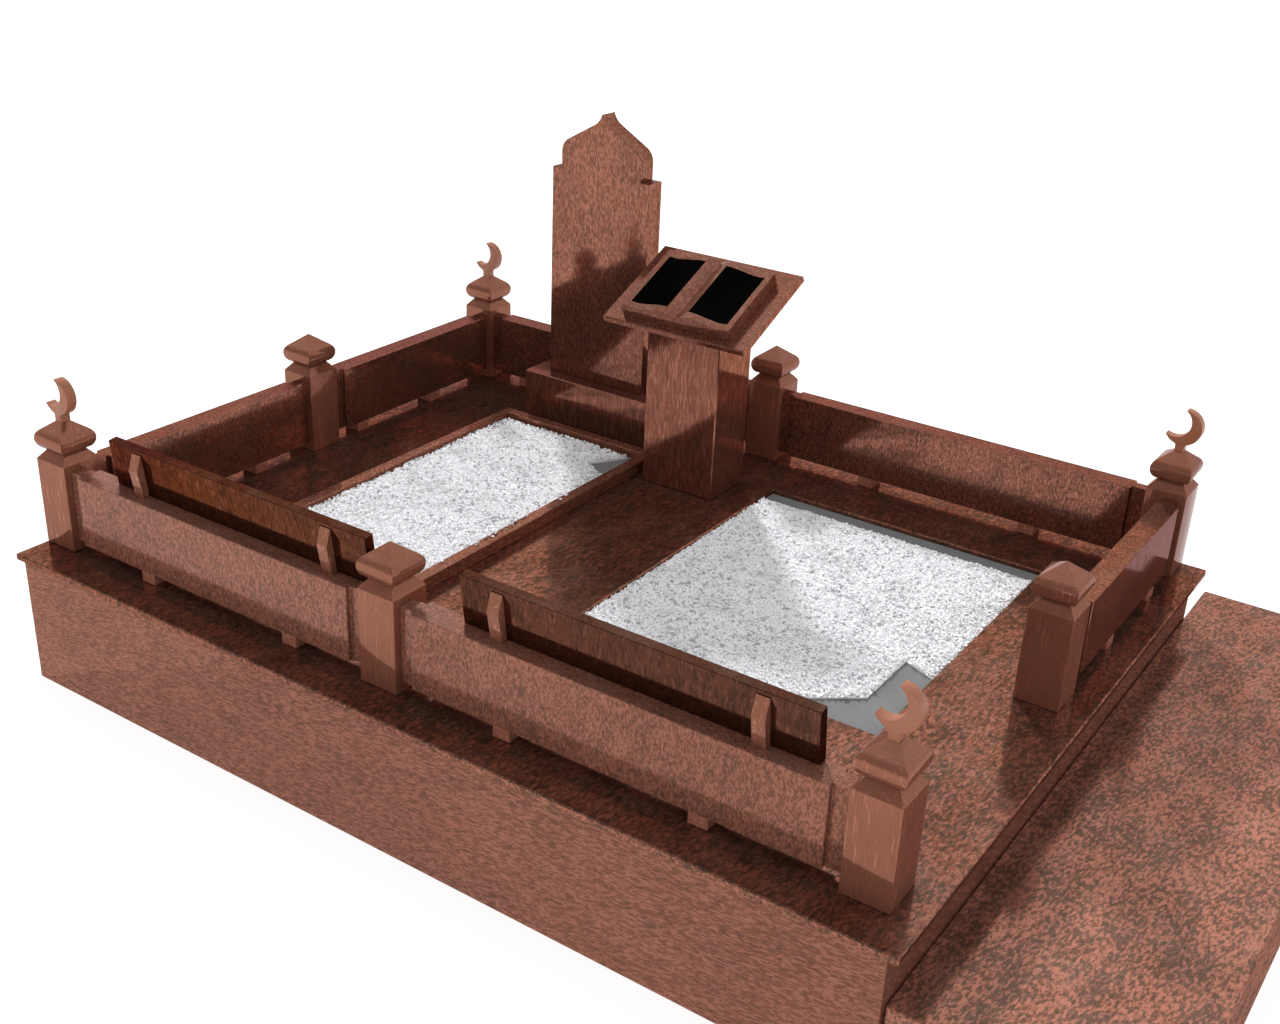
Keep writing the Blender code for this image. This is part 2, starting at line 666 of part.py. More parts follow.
def add_left_bed(memorial):
    x_low, y_low = LEFT_BED_X, LEFT_BED_FRONT
    x_high, y_high = LEFT_BED_X + LEFT_BED_LENGTH, LEFT_BED_BACK
    outer = rectangle(x_low, y_low, x_high, y_high)
    inner = rectangle(
        x_low + KERB_WIDTH, y_low + KERB_WIDTH, x_high - KERB_WIDTH, y_high - KERB_WIDTH
    )
    foot = DECK_TOP + FIT
    mesh = outline_mesh("left_bed_frame", [outer, inner], KERB_HEIGHT)
    kerb_middle = foot + KERB_HEIGHT / 2
    frame = memorial.place("left_bed_frame", mesh, memorial.granite, (0.0, 0.0, kerb_middle))
    add_arris(frame, FINE_ARRIS)
    inset = KERB_WIDTH + BED_CLEARANCE
    low = (x_low + inset, y_low + inset)
    high = (x_high - inset, y_high - inset)
    strip = high[1] - LEFT_BARE_STRIP
    outline = [
        low, (high[0], low[1]), (high[0], strip - LEFT_NOTCH_START),
        (high[0] - LEFT_NOTCH_DEPTH, strip - LEFT_NOTCH_TIP),
        (high[0] - LEFT_NOTCH_MOUTH, strip), (low[0], strip),
    ]
    depths = (LEFT_BACKING_HEIGHT, LEFT_CHIPS_DEPTH)
    add_bed_filling(memorial, "left_bed", low, high, foot, depths, outline)


def add_right_bed(memorial):
    low = (RIGHT_BED_X + BED_CLEARANCE, RIGHT_BED_FRONT + BED_CLEARANCE)
    high = (RIGHT_BED_RIGHT - BED_CLEARANCE, RIGHT_BED_BACK - BED_CLEARANCE)
    foot = BASE_HEIGHT + FIT
    strip = high[1] - RIGHT_BARE_STRIP
    inset = high[0] - BARE_CORNER_INSET
    outline = [
        low, (high[0] - BARE_CORNER_RUN, low[1]), (inset, low[1] + BARE_CORNER_NEAR),
        (inset, low[1] + BARE_CORNER_FAR), (high[0], low[1] + BARE_CORNER_RISE),
        (high[0], strip), (low[0], strip),
    ]
    depths = (RIGHT_BACKING_HEIGHT, RIGHT_CHIPS_DEPTH)
    add_bed_filling(memorial, "right_bed", low, high, foot, depths, outline)


def add_bed_filling(memorial, name, low, high, foot, depths, outline):
    """A grey backing and the layer of chips on it, within its own outline."""
    backing_height, chips_depth = depths
    add_box(
        memorial, name + "_backing",
        (low[0], low[1], foot), (high[0], high[1], foot + backing_height),
        memorial.backing, 0.0,
    )
    mesh = outline_mesh(name + "_chips", [outline], chips_depth)
    middle = foot + backing_height + FIT + chips_depth / 2
    memorial.place(name + "_chips", mesh, memorial.chips, (0.0, 0.0, middle))


def main():
    clear_scene()
    memorial = Memorial()
    add_base(memorial)
    add_posts(memorial)
    add_fence(memorial)
    add_tablets(memorial)
    add_headstone(memorial)
    add_lectern(memorial)
    add_left_bed(memorial)
    add_right_bed(memorial)


main()
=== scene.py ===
"""Looks of the double grave memorial: polished red granite, white chips and black pages.

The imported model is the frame. Stones whose shape is right keep their solids and get a
finish. Posts, crescents, headstone, book and chips are made finer here.
Lengths are in metres, +Z is up and the ground is z = 0.
"""
import functools
import math
import random

import bmesh
import bpy
from mathutils import Matrix, Vector, noise


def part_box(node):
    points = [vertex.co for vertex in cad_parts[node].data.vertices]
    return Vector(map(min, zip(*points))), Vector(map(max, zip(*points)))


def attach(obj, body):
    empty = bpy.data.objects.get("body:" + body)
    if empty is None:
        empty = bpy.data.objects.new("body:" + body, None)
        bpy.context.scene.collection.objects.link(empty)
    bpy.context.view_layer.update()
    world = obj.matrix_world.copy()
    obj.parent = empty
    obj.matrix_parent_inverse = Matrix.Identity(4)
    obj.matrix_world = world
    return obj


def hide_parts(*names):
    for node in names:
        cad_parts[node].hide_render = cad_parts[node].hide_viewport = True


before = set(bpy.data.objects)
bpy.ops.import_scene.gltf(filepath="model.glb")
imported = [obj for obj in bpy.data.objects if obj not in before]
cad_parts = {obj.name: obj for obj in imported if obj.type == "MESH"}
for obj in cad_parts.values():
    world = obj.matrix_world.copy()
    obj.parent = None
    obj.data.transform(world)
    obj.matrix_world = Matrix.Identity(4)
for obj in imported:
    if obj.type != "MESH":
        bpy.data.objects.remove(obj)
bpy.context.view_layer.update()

bl_info = {
    "name": "Double Grave Memorial",
    "version": (1, 0, 0),
    "blender": (4, 5, 0),
    "location": "3D View > Sidebar > Memorial",
    "description": "Dresses a granite grave memorial with stones, chips and a studio",
    "category": "Object",
}

BODY = "root"
# Gap between stones that are bonded to each other
BOND_GAP = 0.0003
COLUMNS = ("left", "mid", "right")
ROWS = ("front", "mid", "back")
CORNERS = [(column, row) for column in ("left", "right") for row in ("front", "back")]


class GraniteSettings(bpy.types.PropertyGroup):
    """Colours and polish of the red granite"""

    ground: bpy.props.FloatVectorProperty(
        name="Ground", description="Main red-brown of the stone",
        subtype="COLOR", size=3, min=0.0, max=1.0, default=(0.205, 0.080, 0.050),
    )
    feldspar: bpy.props.FloatVectorProperty(
        name="Feldspar", description="Pink crystals",
        subtype="COLOR", size=3, min=0.0, max=1.0, default=(0.345, 0.138, 0.095),
    )
    mica: bpy.props.FloatVectorProperty(
        name="Mica", description="Dark grains",
        subtype="COLOR", size=3, min=0.0, max=1.0, default=(0.046, 0.038, 0.027),
    )
    finial: bpy.props.FloatVectorProperty(
        name="Finial", description="Orange-brown of the crescents",
        subtype="COLOR", size=3, min=0.0, max=1.0, default=(0.340, 0.118, 0.056),
    )
    page: bpy.props.FloatVectorProperty(
        name="Page", description="Black polished pages",
        subtype="COLOR", size=3, min=0.0, max=1.0, default=(0.0018, 0.0016, 0.0015),
    )
    polish: bpy.props.FloatProperty(
        name="Polish", description="Roughness of the polished faces",
        subtype="FACTOR", min=0.0, max=1.0, default=0.07,
    )
    edge_tint: bpy.props.FloatVectorProperty(
        name="Edge tint", description="Colour of what the polish mirrors at a flat angle",
        subtype="COLOR", size=3, min=0.0, max=1.0, default=(0.30, 0.15, 0.11),
    )
    arris: bpy.props.FloatProperty(
        name="Arris", description="Rounding of the worked edges", unit="LENGTH", default=0.0015,
    )
    wear_width: bpy.props.FloatProperty(
        name="Wear width", description="Width of the worn edges", unit="LENGTH", default=0.003,
    )


class PostSettings(bpy.types.PropertyGroup):
    """Heights and widths of a post above its foot"""

    shaft_side: bpy.props.FloatProperty(
        name="Shaft side", description="Side of the square shaft", unit="LENGTH", default=0.108,
    )
    shaft_height: bpy.props.FloatProperty(
        name="Shaft height", description="Height of the square shaft", unit="LENGTH", default=0.239,
    )
    shoulder_rise: bpy.props.FloatProperty(
        name="Shoulder rise", description="Slope from shaft to neck", unit="LENGTH", default=0.024,
    )
    neck_side: bpy.props.FloatProperty(
        name="Neck side", description="Side of the neck", unit="LENGTH", default=0.066,
    )
    underside_rise: bpy.props.FloatProperty(
        name="Underside rise", description="Round underside of the cap", unit="LENGTH", default=0.030,
    )
    roll_rise: bpy.props.FloatProperty(
        name="Roll rise", description="Round edge of the cap", unit="LENGTH", default=0.024,
    )
    roll_inset: bpy.props.FloatProperty(
        name="Roll inset", description="Reach of the round edge", unit="LENGTH", default=0.0125,
    )
    cap_pitch: bpy.props.FloatProperty(
        name="Cap pitch", description="Slope of the low pyramid",
        subtype="ANGLE", default=math.radians(37.0),
    )


class CrescentSettings(bpy.types.PropertyGroup):
    """Sizes of the crescent finials"""

    hollow_radius: bpy.props.FloatProperty(
        name="Hollow radius", description="Radius of the inner circle", unit="LENGTH", default=0.0417,
    )
    hollow_offset: bpy.props.FloatProperty(
        name="Hollow offset", description="Offset of the inner circle", unit="LENGTH", default=0.0256,
    )
    opening: bpy.props.FloatProperty(
        name="Opening", description="Direction in which the moon opens",
        subtype="ANGLE", default=math.radians(150.0),
    )
    stem_width: bpy.props.FloatProperty(
        name="Stem width", description="Width of the stem", unit="LENGTH", default=0.023,
    )
    stem_rise: bpy.props.FloatProperty(
        name="Stem rise", description="Stem below the moon", unit="LENGTH", default=0.019,
    )
    stem_fillet: bpy.props.FloatProperty(
        name="Stem fillet", description="Fillet between stem and moon", unit="LENGTH", default=0.007,
    )
    arris: bpy.props.FloatProperty(
        name="Arris", description="Rounding that the thin tips leave room for",
        unit="LENGTH", default=0.0006,
    )


class HeadstoneSettings(bpy.types.PropertyGroup):
    """Outline of the headstone"""

    shoulder_height: bpy.props.FloatProperty(
        name="Shoulder height", description="Height of the square shoulders",
        unit="LENGTH", default=0.656,
    )
    shoulder_width: bpy.props.FloatProperty(
        name="Shoulder width", description="Ledge on each side", unit="LENGTH", default=0.033,
    )
    arch_spring: bpy.props.FloatProperty(
        name="Arch spring", description="Upright part above the shoulder",
        unit="LENGTH", default=0.052,
    )
    arch_haunch: bpy.props.FloatProperty(
        name="Arch haunch", description="Rise of the round haunch", unit="LENGTH", default=0.040,
    )
    haunch_run: bpy.props.FloatProperty(
        name="Haunch run", description="Run of the round haunch", unit="LENGTH", default=0.025,
    )
    slope_run: bpy.props.FloatProperty(
        name="Slope run", description="Run of the straight slope", unit="LENGTH", default=0.095,
    )
    slope_rise: bpy.props.FloatProperty(
        name="Slope rise", description="Rise of the straight slope", unit="LENGTH", default=0.054,
    )
    tip_rise: bpy.props.FloatProperty(
        name="Tip rise", description="Rise of the hollow tip", unit="LENGTH", default=0.032,
    )
    tip_sweep: bpy.props.FloatProperty(
        name="Tip sweep", description="Where the hollow turns up, as a share of its run",
        subtype="FACTOR", min=0.0, max=1.0, default=0.35,
    )


class BookSettings(bpy.types.PropertyGroup):
    """Sizes of the lectern's book and its black pages"""

    plate_tilt: bpy.props.FloatProperty(
        name="Plate tilt", description="Slope of the plate", subtype="ANGLE",
        default=math.radians(24.6),
    )
    width: bpy.props.FloatProperty(
        name="Width", description="Width of the open book", unit="LENGTH", default=0.352,
    )
    length: bpy.props.FloatProperty(
        name="Length", description="Length up the slope", unit="LENGTH", default=0.262,
    )
    margin: bpy.props.FloatProperty(
        name="Margin", description="Plate in front of the book", unit="LENGTH", default=0.024,
    )
    spine_height: bpy.props.FloatProperty(
        name="Spine height", description="Height of the groove", unit="LENGTH", default=0.029,
    )
    crest_height: bpy.props.FloatProperty(
        name="Crest height", description="Height of the page crest", unit="LENGTH", default=0.047,
    )
    crest_offset: bpy.props.FloatProperty(
        name="Crest offset", description="Crest from the spine", unit="LENGTH", default=0.040,
    )
    hollow_height: bpy.props.FloatProperty(
        name="Hollow height", description="Height of the page hollow", unit="LENGTH", default=0.033,
    )
    hollow_offset: bpy.props.FloatProperty(
        name="Hollow offset", description="Hollow from the spine", unit="LENGTH", default=0.138,
    )
    edge_height: bpy.props.FloatProperty(
        name="Edge height", description="Height of the outer edge", unit="LENGTH", default=0.037,
    )
    page_start: bpy.props.FloatProperty(
        name="Page start", description="Black page from the spine", unit="LENGTH", default=0.034,
    )
    page_end: bpy.props.FloatProperty(
        name="Page end", description="Far side of the black page", unit="LENGTH", default=0.158,
    )
    page_foot: bpy.props.FloatProperty(
        name="Page foot", description="Black page from the book's foot", unit="LENGTH", default=0.026,
    )
    page_head: bpy.props.FloatProperty(
        name="Page head", description="Head of the black page", unit="LENGTH", default=0.236,
    )


class ChipSettings(bpy.types.PropertyGroup):
    """Loose white chips"""

    size: bpy.props.FloatProperty(
        name="Chip size", description="Mean width of a chip", unit="LENGTH", default=0.0105,
    )
    spacing: bpy.props.FloatProperty(
        name="Spacing", description="Distance between chips", unit="LENGTH", default=0.0092,
    )
    light: bpy.props.FloatVectorProperty(
        name="Light chips", description="Colour of most chips",
        subtype="COLOR", size=3, min=0.0, max=1.0, default=(0.96, 0.96, 0.98),
    )
    dark: bpy.props.FloatVectorProperty(
        name="Dark chips", description="Colour of the greyest chips",
        subtype="COLOR", size=3, min=0.0, max=1.0, default=(0.46, 0.46, 0.48),
    )
    backing: bpy.props.FloatVectorProperty(
        name="Backing", description="Colour of the bare backing",
        subtype="COLOR", size=3, min=0.0, max=1.0, default=(0.180, 0.180, 0.180),
    )
    spilled: bpy.props.IntProperty(
        name="Spilled chips", description="Chips that lie on the kerb", min=0, default=24,
    )
    seed: bpy.props.IntProperty(name="Seed", description="Seed of the scatter", default=7)


class StageSettings(bpy.types.PropertyGroup):
    """Floor, lights and camera"""

    floor: bpy.props.FloatVectorProperty(
        name="Floor", description="Pale floor",
        subtype="COLOR", size=3, min=0.0, max=1.0, default=(0.40, 0.40, 0.40),
    )
    floor_size: bpy.props.FloatProperty(
        name="Floor size", description="Side of the floor", unit="LENGTH", default=120.0,
    )
    key_strength: bpy.props.FloatProperty(
        name="Key", description="Strength of the key light", default=3.6,
    )
    soft_light: bpy.props.FloatProperty(
        name="Soft light", description="Light that the pale surroundings throw on matt faces",
        default=0.78,
    )
    dim_side: bpy.props.FloatProperty(
        name="Dim side", description="Brightness of the room in front, as the polish mirrors it",
        default=0.3,
    )
    floor_glow: bpy.props.FloatProperty(
        name="Floor glow", description="Light of the floor itself, as a lit studio floor",
        default=0.80,
    )
    camera_place: bpy.props.FloatVectorProperty(
        name="Camera", description="Where the camera stands", subtype="TRANSLATION", size=3,
        default=(1.7637, -3.0757, 2.2331),
    )
    lens: bpy.props.FloatProperty(
        name="Lens", description="Focal length in millimetres", default=43.02,
    )


# Viewing frame of the camera: its right, its down and its forward direction
CAMERA_RIGHT = Vector((0.8237, 0.5656, 0.0392))
CAMERA_DOWN = Vector((0.2723, -0.3341, -0.9023))
CAMERA_FORWARD = Vector((-0.4973, 0.7540, -0.4292))


def settings():
    """The memorial's own settings."""
    return bpy.context.scene.memorial


def node_box(name):
    """Lowest and highest corner of a stone's box."""
    low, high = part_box(name)
    return Vector(low), Vector(high)


# Shader node groups


def link_all(tree, pairs):
    """Links each source to its target."""
    for source, target in pairs:
        tree.links.new(source, target)


def feed(tree, socket, value):
    """Links a socket to another one, or gives it a plain value."""
    if isinstance(value, bpy.types.NodeSocket):
        tree.links.new(value, socket)
    else:
        socket.default_value = value


def start_group(name, inputs, outputs):
    """An empty node group, with the sockets inside it."""
    tree = bpy.data.node_groups.new(name, "ShaderNodeTree")
    for label, kind, value in inputs:
        socket = tree.interface.new_socket(name=label, in_out="INPUT", socket_type=kind)
        if value is not None:
            socket.default_value = value
    for label, kind in outputs:
        tree.interface.new_socket(name=label, in_out="OUTPUT", socket_type=kind)
    return tree, tree.nodes.new("NodeGroupInput").outputs, tree.nodes.new("NodeGroupOutput").inputs


def math_node(tree, operation, first, second=None, third=None, clamp=False):
    """A sum on up to three values, which are numbers or sockets."""
    node = tree.nodes.new("ShaderNodeMath")
    node.operation = operation
    node.use_clamp = clamp
    for socket, value in zip(node.inputs, (first, second, third)):
        if value is not None:
            feed(tree, socket, value)
    return node.outputs[0]


def share_of(tree, value, share):
    """The value made smaller or larger."""
    return math_node(tree, "MULTIPLY", value, share)


def mix_colours(tree, share, first, second):
    """The first colour, with that share of the second."""
    node = tree.nodes.new("ShaderNodeMix")
    node.data_type = "RGBA"
    feed(tree, node.inputs[0], share)
    feed(tree, node.inputs[6], first)
    feed(tree, node.inputs[7], second)
    return node.outputs[2]


def smooth_range(tree, value, low, high):
    """Turns a value into a mask that rises from low to high."""
    node = tree.nodes.new("ShaderNodeMapRange")
    node.interpolation_type = "SMOOTHSTEP"
    feed(tree, node.inputs["Value"], value)
    feed(tree, node.inputs["From Min"], low)
    feed(tree, node.inputs["From Max"], high)
    return node.outputs["Result"]


def noise_value(tree, vector, scale, detail, roughness=0.5, distortion=0.0):
    """A soft random value that drifts over the surface."""
    node = tree.nodes.new("ShaderNodeTexNoise")
    feed(tree, node.inputs["Vector"], vector)
    feed(tree, node.inputs["Scale"], scale)
    node.inputs["Detail"].default_value = detail
    node.inputs["Roughness"].default_value = roughness
    node.inputs["Distortion"].default_value = distortion
    return node.outputs[0]


# Grain of the granite: crystals mix a tone of their own with a drifting noise, and a mask
# rises over its softness from an edge that falls as the share of that mineral grows
CRYSTAL_DRIFT = 1.4
CRYSTAL_TONE = 0.5
FELDSPAR_EDGE = 1.25
FELDSPAR_REACH = 0.7
FELDSPAR_SOFTNESS = 0.28
MICA_SCALE = 0.62
MICA_DRIFT = 0.28
MICA_DRIFT_SCALE = 0.12
MICA_EDGE = 0.78
MICA_REACH = 0.36
MICA_SOFTNESS = 0.18
MICA_ROUGHNESS = 0.10
MICA_RELIEF = 0.5
FLECK_SCALE = 5.0
FLECK_GAIN = 0.7
FLECK_FLOOR = 0.65
CLOUDS_PER_METRE = 2.3


@functools.cache
def granite_grain():
    """Crystals of feldspar and mica in a red-brown ground."""
    tree, given, result = start_group(
        "granite_grain",
        (
            ("Vector", "NodeSocketVector", None),
            ("Grains per Metre", "NodeSocketFloat", 160.0),
            ("Ground", "NodeSocketColor", None),
            ("Feldspar", "NodeSocketColor", None),
            ("Mica", "NodeSocketColor", None),
            ("Mica Share", "NodeSocketFloat", 0.3),
            ("Mica Depth", "NodeSocketFloat", 0.6),
            ("Feldspar Share", "NodeSocketFloat", 0.4),
            ("Cloud", "NodeSocketFloat", 0.2),
            ("Place", "NodeSocketVector", None),
        ),
        (
            ("Color", "NodeSocketColor"),
            ("Roughness", "NodeSocketFloat"),
            ("Height", "NodeSocketFloat"),
        ),
    )
    place = given["Vector"]
    grains = given["Grains per Metre"]
    crystals = tree.nodes.new("ShaderNodeTexVoronoi")
    split = tree.nodes.new("ShaderNodeSeparateColor")
    link_all(tree, (
        (place, crystals.inputs["Vector"]),
        (grains, crystals.inputs["Scale"]),
        (crystals.outputs["Color"], split.inputs[0]),
    ))
    drift = noise_value(tree, place, grains, detail=3.0, roughness=0.6)
    own_tone = share_of(tree, split.outputs[0], CRYSTAL_TONE)
    crystal = math_node(tree, "MULTIPLY_ADD", drift, CRYSTAL_DRIFT, own_tone)
    edge = math_node(tree, "MULTIPLY_ADD", given["Feldspar Share"], -FELDSPAR_REACH, FELDSPAR_EDGE)
    full = math_node(tree, "ADD", edge, FELDSPAR_SOFTNESS)
    feldspar_mask = smooth_range(tree, crystal, edge, full)

    coarse = share_of(tree, grains, MICA_SCALE)
    blotches = noise_value(tree, place, coarse, detail=4.0, roughness=0.62, distortion=0.35)
    drift = noise_value(tree, place, share_of(tree, coarse, MICA_DRIFT_SCALE), detail=2.0)
    blotches = math_node(tree, "MULTIPLY_ADD", drift, MICA_DRIFT, blotches)
    edge = math_node(tree, "MULTIPLY_ADD", given["Mica Share"], -MICA_REACH, MICA_EDGE)
    full = math_node(tree, "ADD", edge, MICA_SOFTNESS)
    mica_mask = smooth_range(tree, blotches, edge, full)

    fleck_scale = share_of(tree, coarse, FLECK_SCALE)
    fleck = noise_value(tree, place, fleck_scale, detail=2.0, roughness=0.7)
    fleck_gain = math_node(tree, "MULTIPLY_ADD", fleck, FLECK_GAIN, FLECK_FLOOR)
    cloud = noise_value(tree, given["Place"], CLOUDS_PER_METRE, detail=3.0, roughness=0.55)
    cloud = math_node(tree, "SUBTRACT", cloud, 0.5)
    cloud_gain = math_node(tree, "MULTIPLY_ADD", cloud, given["Cloud"], 1.0)
    gain = share_of(tree, fleck_gain, cloud_gain)

    stone = mix_colours(tree, feldspar_mask, given["Ground"], given["Feldspar"])
    dark = share_of(tree, mica_mask, given["Mica Depth"])
    stone = mix_colours(tree, dark, stone, given["Mica"])
    dimmed = tree.nodes.new("ShaderNodeVectorMath")
    dimmed.operation = "SCALE"
    sunk = share_of(tree, mica_mask, MICA_RELIEF)
    link_all(tree, (
        (stone, dimmed.inputs[0]),
        (gain, dimmed.inputs["Scale"]),
        (dimmed.outputs[0], result["Color"]),
        (share_of(tree, mica_mask, MICA_ROUGHNESS), result["Roughness"]),
        (math_node(tree, "SUBTRACT", fleck, sunk), result["Height"]),
    ))
    return tree


@functools.cache
def worn_edges():
    """Mask of the worn edges, broken up by noise."""
    tree, given, result = start_group(
        "worn_edges",
        (("Vector", "NodeSocketVector", None), ("Width", "NodeSocketFloat", 0.003)),
        (("Mask", "NodeSocketFloat"),),
    )
    rounded = tree.nodes.new("ShaderNodeBevel")
    rounded.samples = 4
    geometry = tree.nodes.new("ShaderNodeNewGeometry")
    facing = tree.nodes.new("ShaderNodeVectorMath")
    facing.operation = "DOT_PRODUCT"
    link_all(tree, (
        (given["Width"], rounded.inputs["Radius"]),
        (rounded.outputs[0], facing.inputs[0]),
        (geometry.outputs["Normal"], facing.inputs[1]),
    ))
    turned = math_node(tree, "SUBTRACT", 1.0, facing.outputs["Value"])
    edge = smooth_range(tree, turned, low=0.02, high=0.22)
    breaks = noise_value(tree, given["Vector"], scale=90.0, detail=4.0, roughness=0.65)
    chipped = smooth_range(tree, breaks, low=0.36, high=0.62)
    tree.links.new(share_of(tree, edge, chipped), result["Mask"])
    return tree


def normal_part(tree, axis):
    """One part of the direction in which a face looks."""
    geometry = tree.nodes.new("ShaderNodeNewGeometry")
    split = tree.nodes.new("ShaderNodeSeparateXYZ")
    tree.links.new(geometry.outputs["Normal"], split.inputs[0])
    return split.outputs[axis]


@functools.cache
def settled_dust():
    """Mask of the fine dust that lies on what faces up."""
    tree, given, result = start_group(
        "settled_dust",
        (("Vector", "NodeSocketVector", None), ("Amount", "NodeSocketFloat", 0.1)),
        (("Mask", "NodeSocketFloat"),),
    )
    upward = smooth_range(tree, normal_part(tree, "Z"), low=0.55, high=0.95)
    cloud = noise_value(tree, given["Vector"], scale=9.0, detail=5.0, roughness=0.6)
    patches = smooth_range(tree, cloud, low=0.35, high=0.75)
    dust = share_of(tree, share_of(tree, upward, patches), given["Amount"])
    tree.links.new(dust, result["Mask"])
    return tree


def place_group(tree, group):
    """Places a node group in a material."""
    node = tree.nodes.new("ShaderNodeGroup")
    node.node_tree = group
    return node


def start_material(name):
    """A new material with its tree, its shader and the stone's own coordinates."""
    material = bpy.data.materials.new(name)
    material.use_nodes = True
    tree = material.node_tree
    shader = tree.nodes["Principled BSDF"]
    place = tree.nodes.new("ShaderNodeTexCoord").outputs["Object"]
    return material, tree, shader, place


def turned_place(tree, place, stretch, turn):
    """Coordinates that are turned first, then stretched along the turned axes."""
    turning = tree.nodes.new("ShaderNodeMapping")
    turning.inputs["Rotation"].default_value = turn
    scaling = tree.nodes.new("ShaderNodeMapping")
    scaling.inputs["Scale"].default_value = stretch
    link_all(tree, (
        (place, turning.inputs["Vector"]),
        (turning.outputs[0], scaling.inputs["Vector"]),
    ))
    return scaling.outputs[0]


def finish_surface(tree, shader, colour, rough, height, strength, depth):
    """Feeds a surface's colour, roughness and relief to its shader."""
    bump = tree.nodes.new("ShaderNodeBump")
    bump.inputs["Strength"].default_value = strength
    bump.inputs["Distance"].default_value = depth
    link_all(tree, (
        (colour, shader.inputs["Base Color"]),
        (rough, shader.inputs["Roughness"]),
        (height, bump.inputs["Height"]),
        (bump.outputs[0], shader.inputs["Normal"]),
    ))


def toned(colour, tone):
    """The colour made lighter or darker, with its alpha."""
    return tuple(channel * tone for channel in colour) + (1.0,)


# Each finish: grains per metre, stretch, turn in degrees, shares of mica and feldspar,
# depth of the mica, cloud, tone, share of mirror
FINISHES = {
    "base": (280.0, (0.28, 1.0, 1.0), (0.0, 6.0, 0.0), (0.44, 0.60), 0.46, 0.34, 0.94, 0.45),
    "step": (240.0, (1.0, 0.40, 1.0), (0.0, 0.0, 8.0), (0.66, 0.85), 0.78, 0.44, 1.38, 0.55),
    "deck": (220.0, (1.0, 0.40, 1.0), (0.0, 0.0, 8.0), (0.58, 0.55), 0.78, 0.70, 1.16, 0.74),
    "panel": (300.0, (0.90, 0.90, 0.45), (0.0, 0.0, 0.0), (0.50, 0.62), 0.50, 0.30, 1.00, 0.30),
    "fence": (280.0, (0.90, 0.90, 0.40), (0.0, 0.0, 0.0), (0.54, 0.50), 0.60, 0.44, 1.28, 0.74),
    "post": (280.0, (1.0, 1.0, 0.05), (0.0, 0.0, 0.0), (0.05, 0.16), 0.20, 0.10, 1.30, 0.45),
    "foot": (240.0, (1.0, 1.0, 0.3), (0.0, 0.0, 0.0), (0.10, 0.30), 0.30, 0.10, 1.60, 0.15),
    # The tablets' low tone is painted shade: it darkens the whole stone as their front faces look in
    # shade
    "tablet": (260.0, (1.0, 1.0, 0.2), (0.0, 0.0, 0.0), (0.52, 0.30), 0.60, 0.40, 0.52, 0.88),
    "bracket": (240.0, (1.0, 1.0, 0.3), (0.0, 0.0, 0.0), (0.02, 0.30), 0.20, 0.10, 1.24, 0.30),
    "headstone": (230.0, (1.0, 1.0, 0.34), (0.0, 8.0, 0.0), (0.48, 0.62), 0.50, 0.28, 0.98, 0.72),
    "lectern": (240.0, (1.0, 1.0, 0.14), (0.0, 0.0, 0.0), (0.34, 0.46), 0.44, 0.30, 1.10, 0.72),
    "book": (260.0, (1.0, 0.5, 0.5), (0.0, 0.0, 0.0), (0.28, 0.50), 0.40, 0.20, 0.92, 0.50),
    "kerb": (240.0, (0.8, 0.5, 1.0), (0.0, 0.0, 0.0), (0.28, 0.44), 0.40, 0.24, 1.16, 0.60),
}
# Finishes whose left and right ends are sawn and not polished
SAWN_ENDS = ("step",)
SAWN_ROUGHNESS = 0.75
DUST_AMOUNT = 0.10
DUST_ROUGHNESS = 0.9
DUST_COLOUR = (0.42, 0.34, 0.30, 1.0)
WORN_SHARE = 0.35
WORN_TONE = 1.15
WORN_ROUGHNESS = 0.25


def sawn_ends(tree):
    """Mask of the faces that look left or right."""
    sideways = math_node(tree, "ABSOLUTE", normal_part(tree, "X"))
    return smooth_range(tree, sideways, low=0.8, high=0.95)


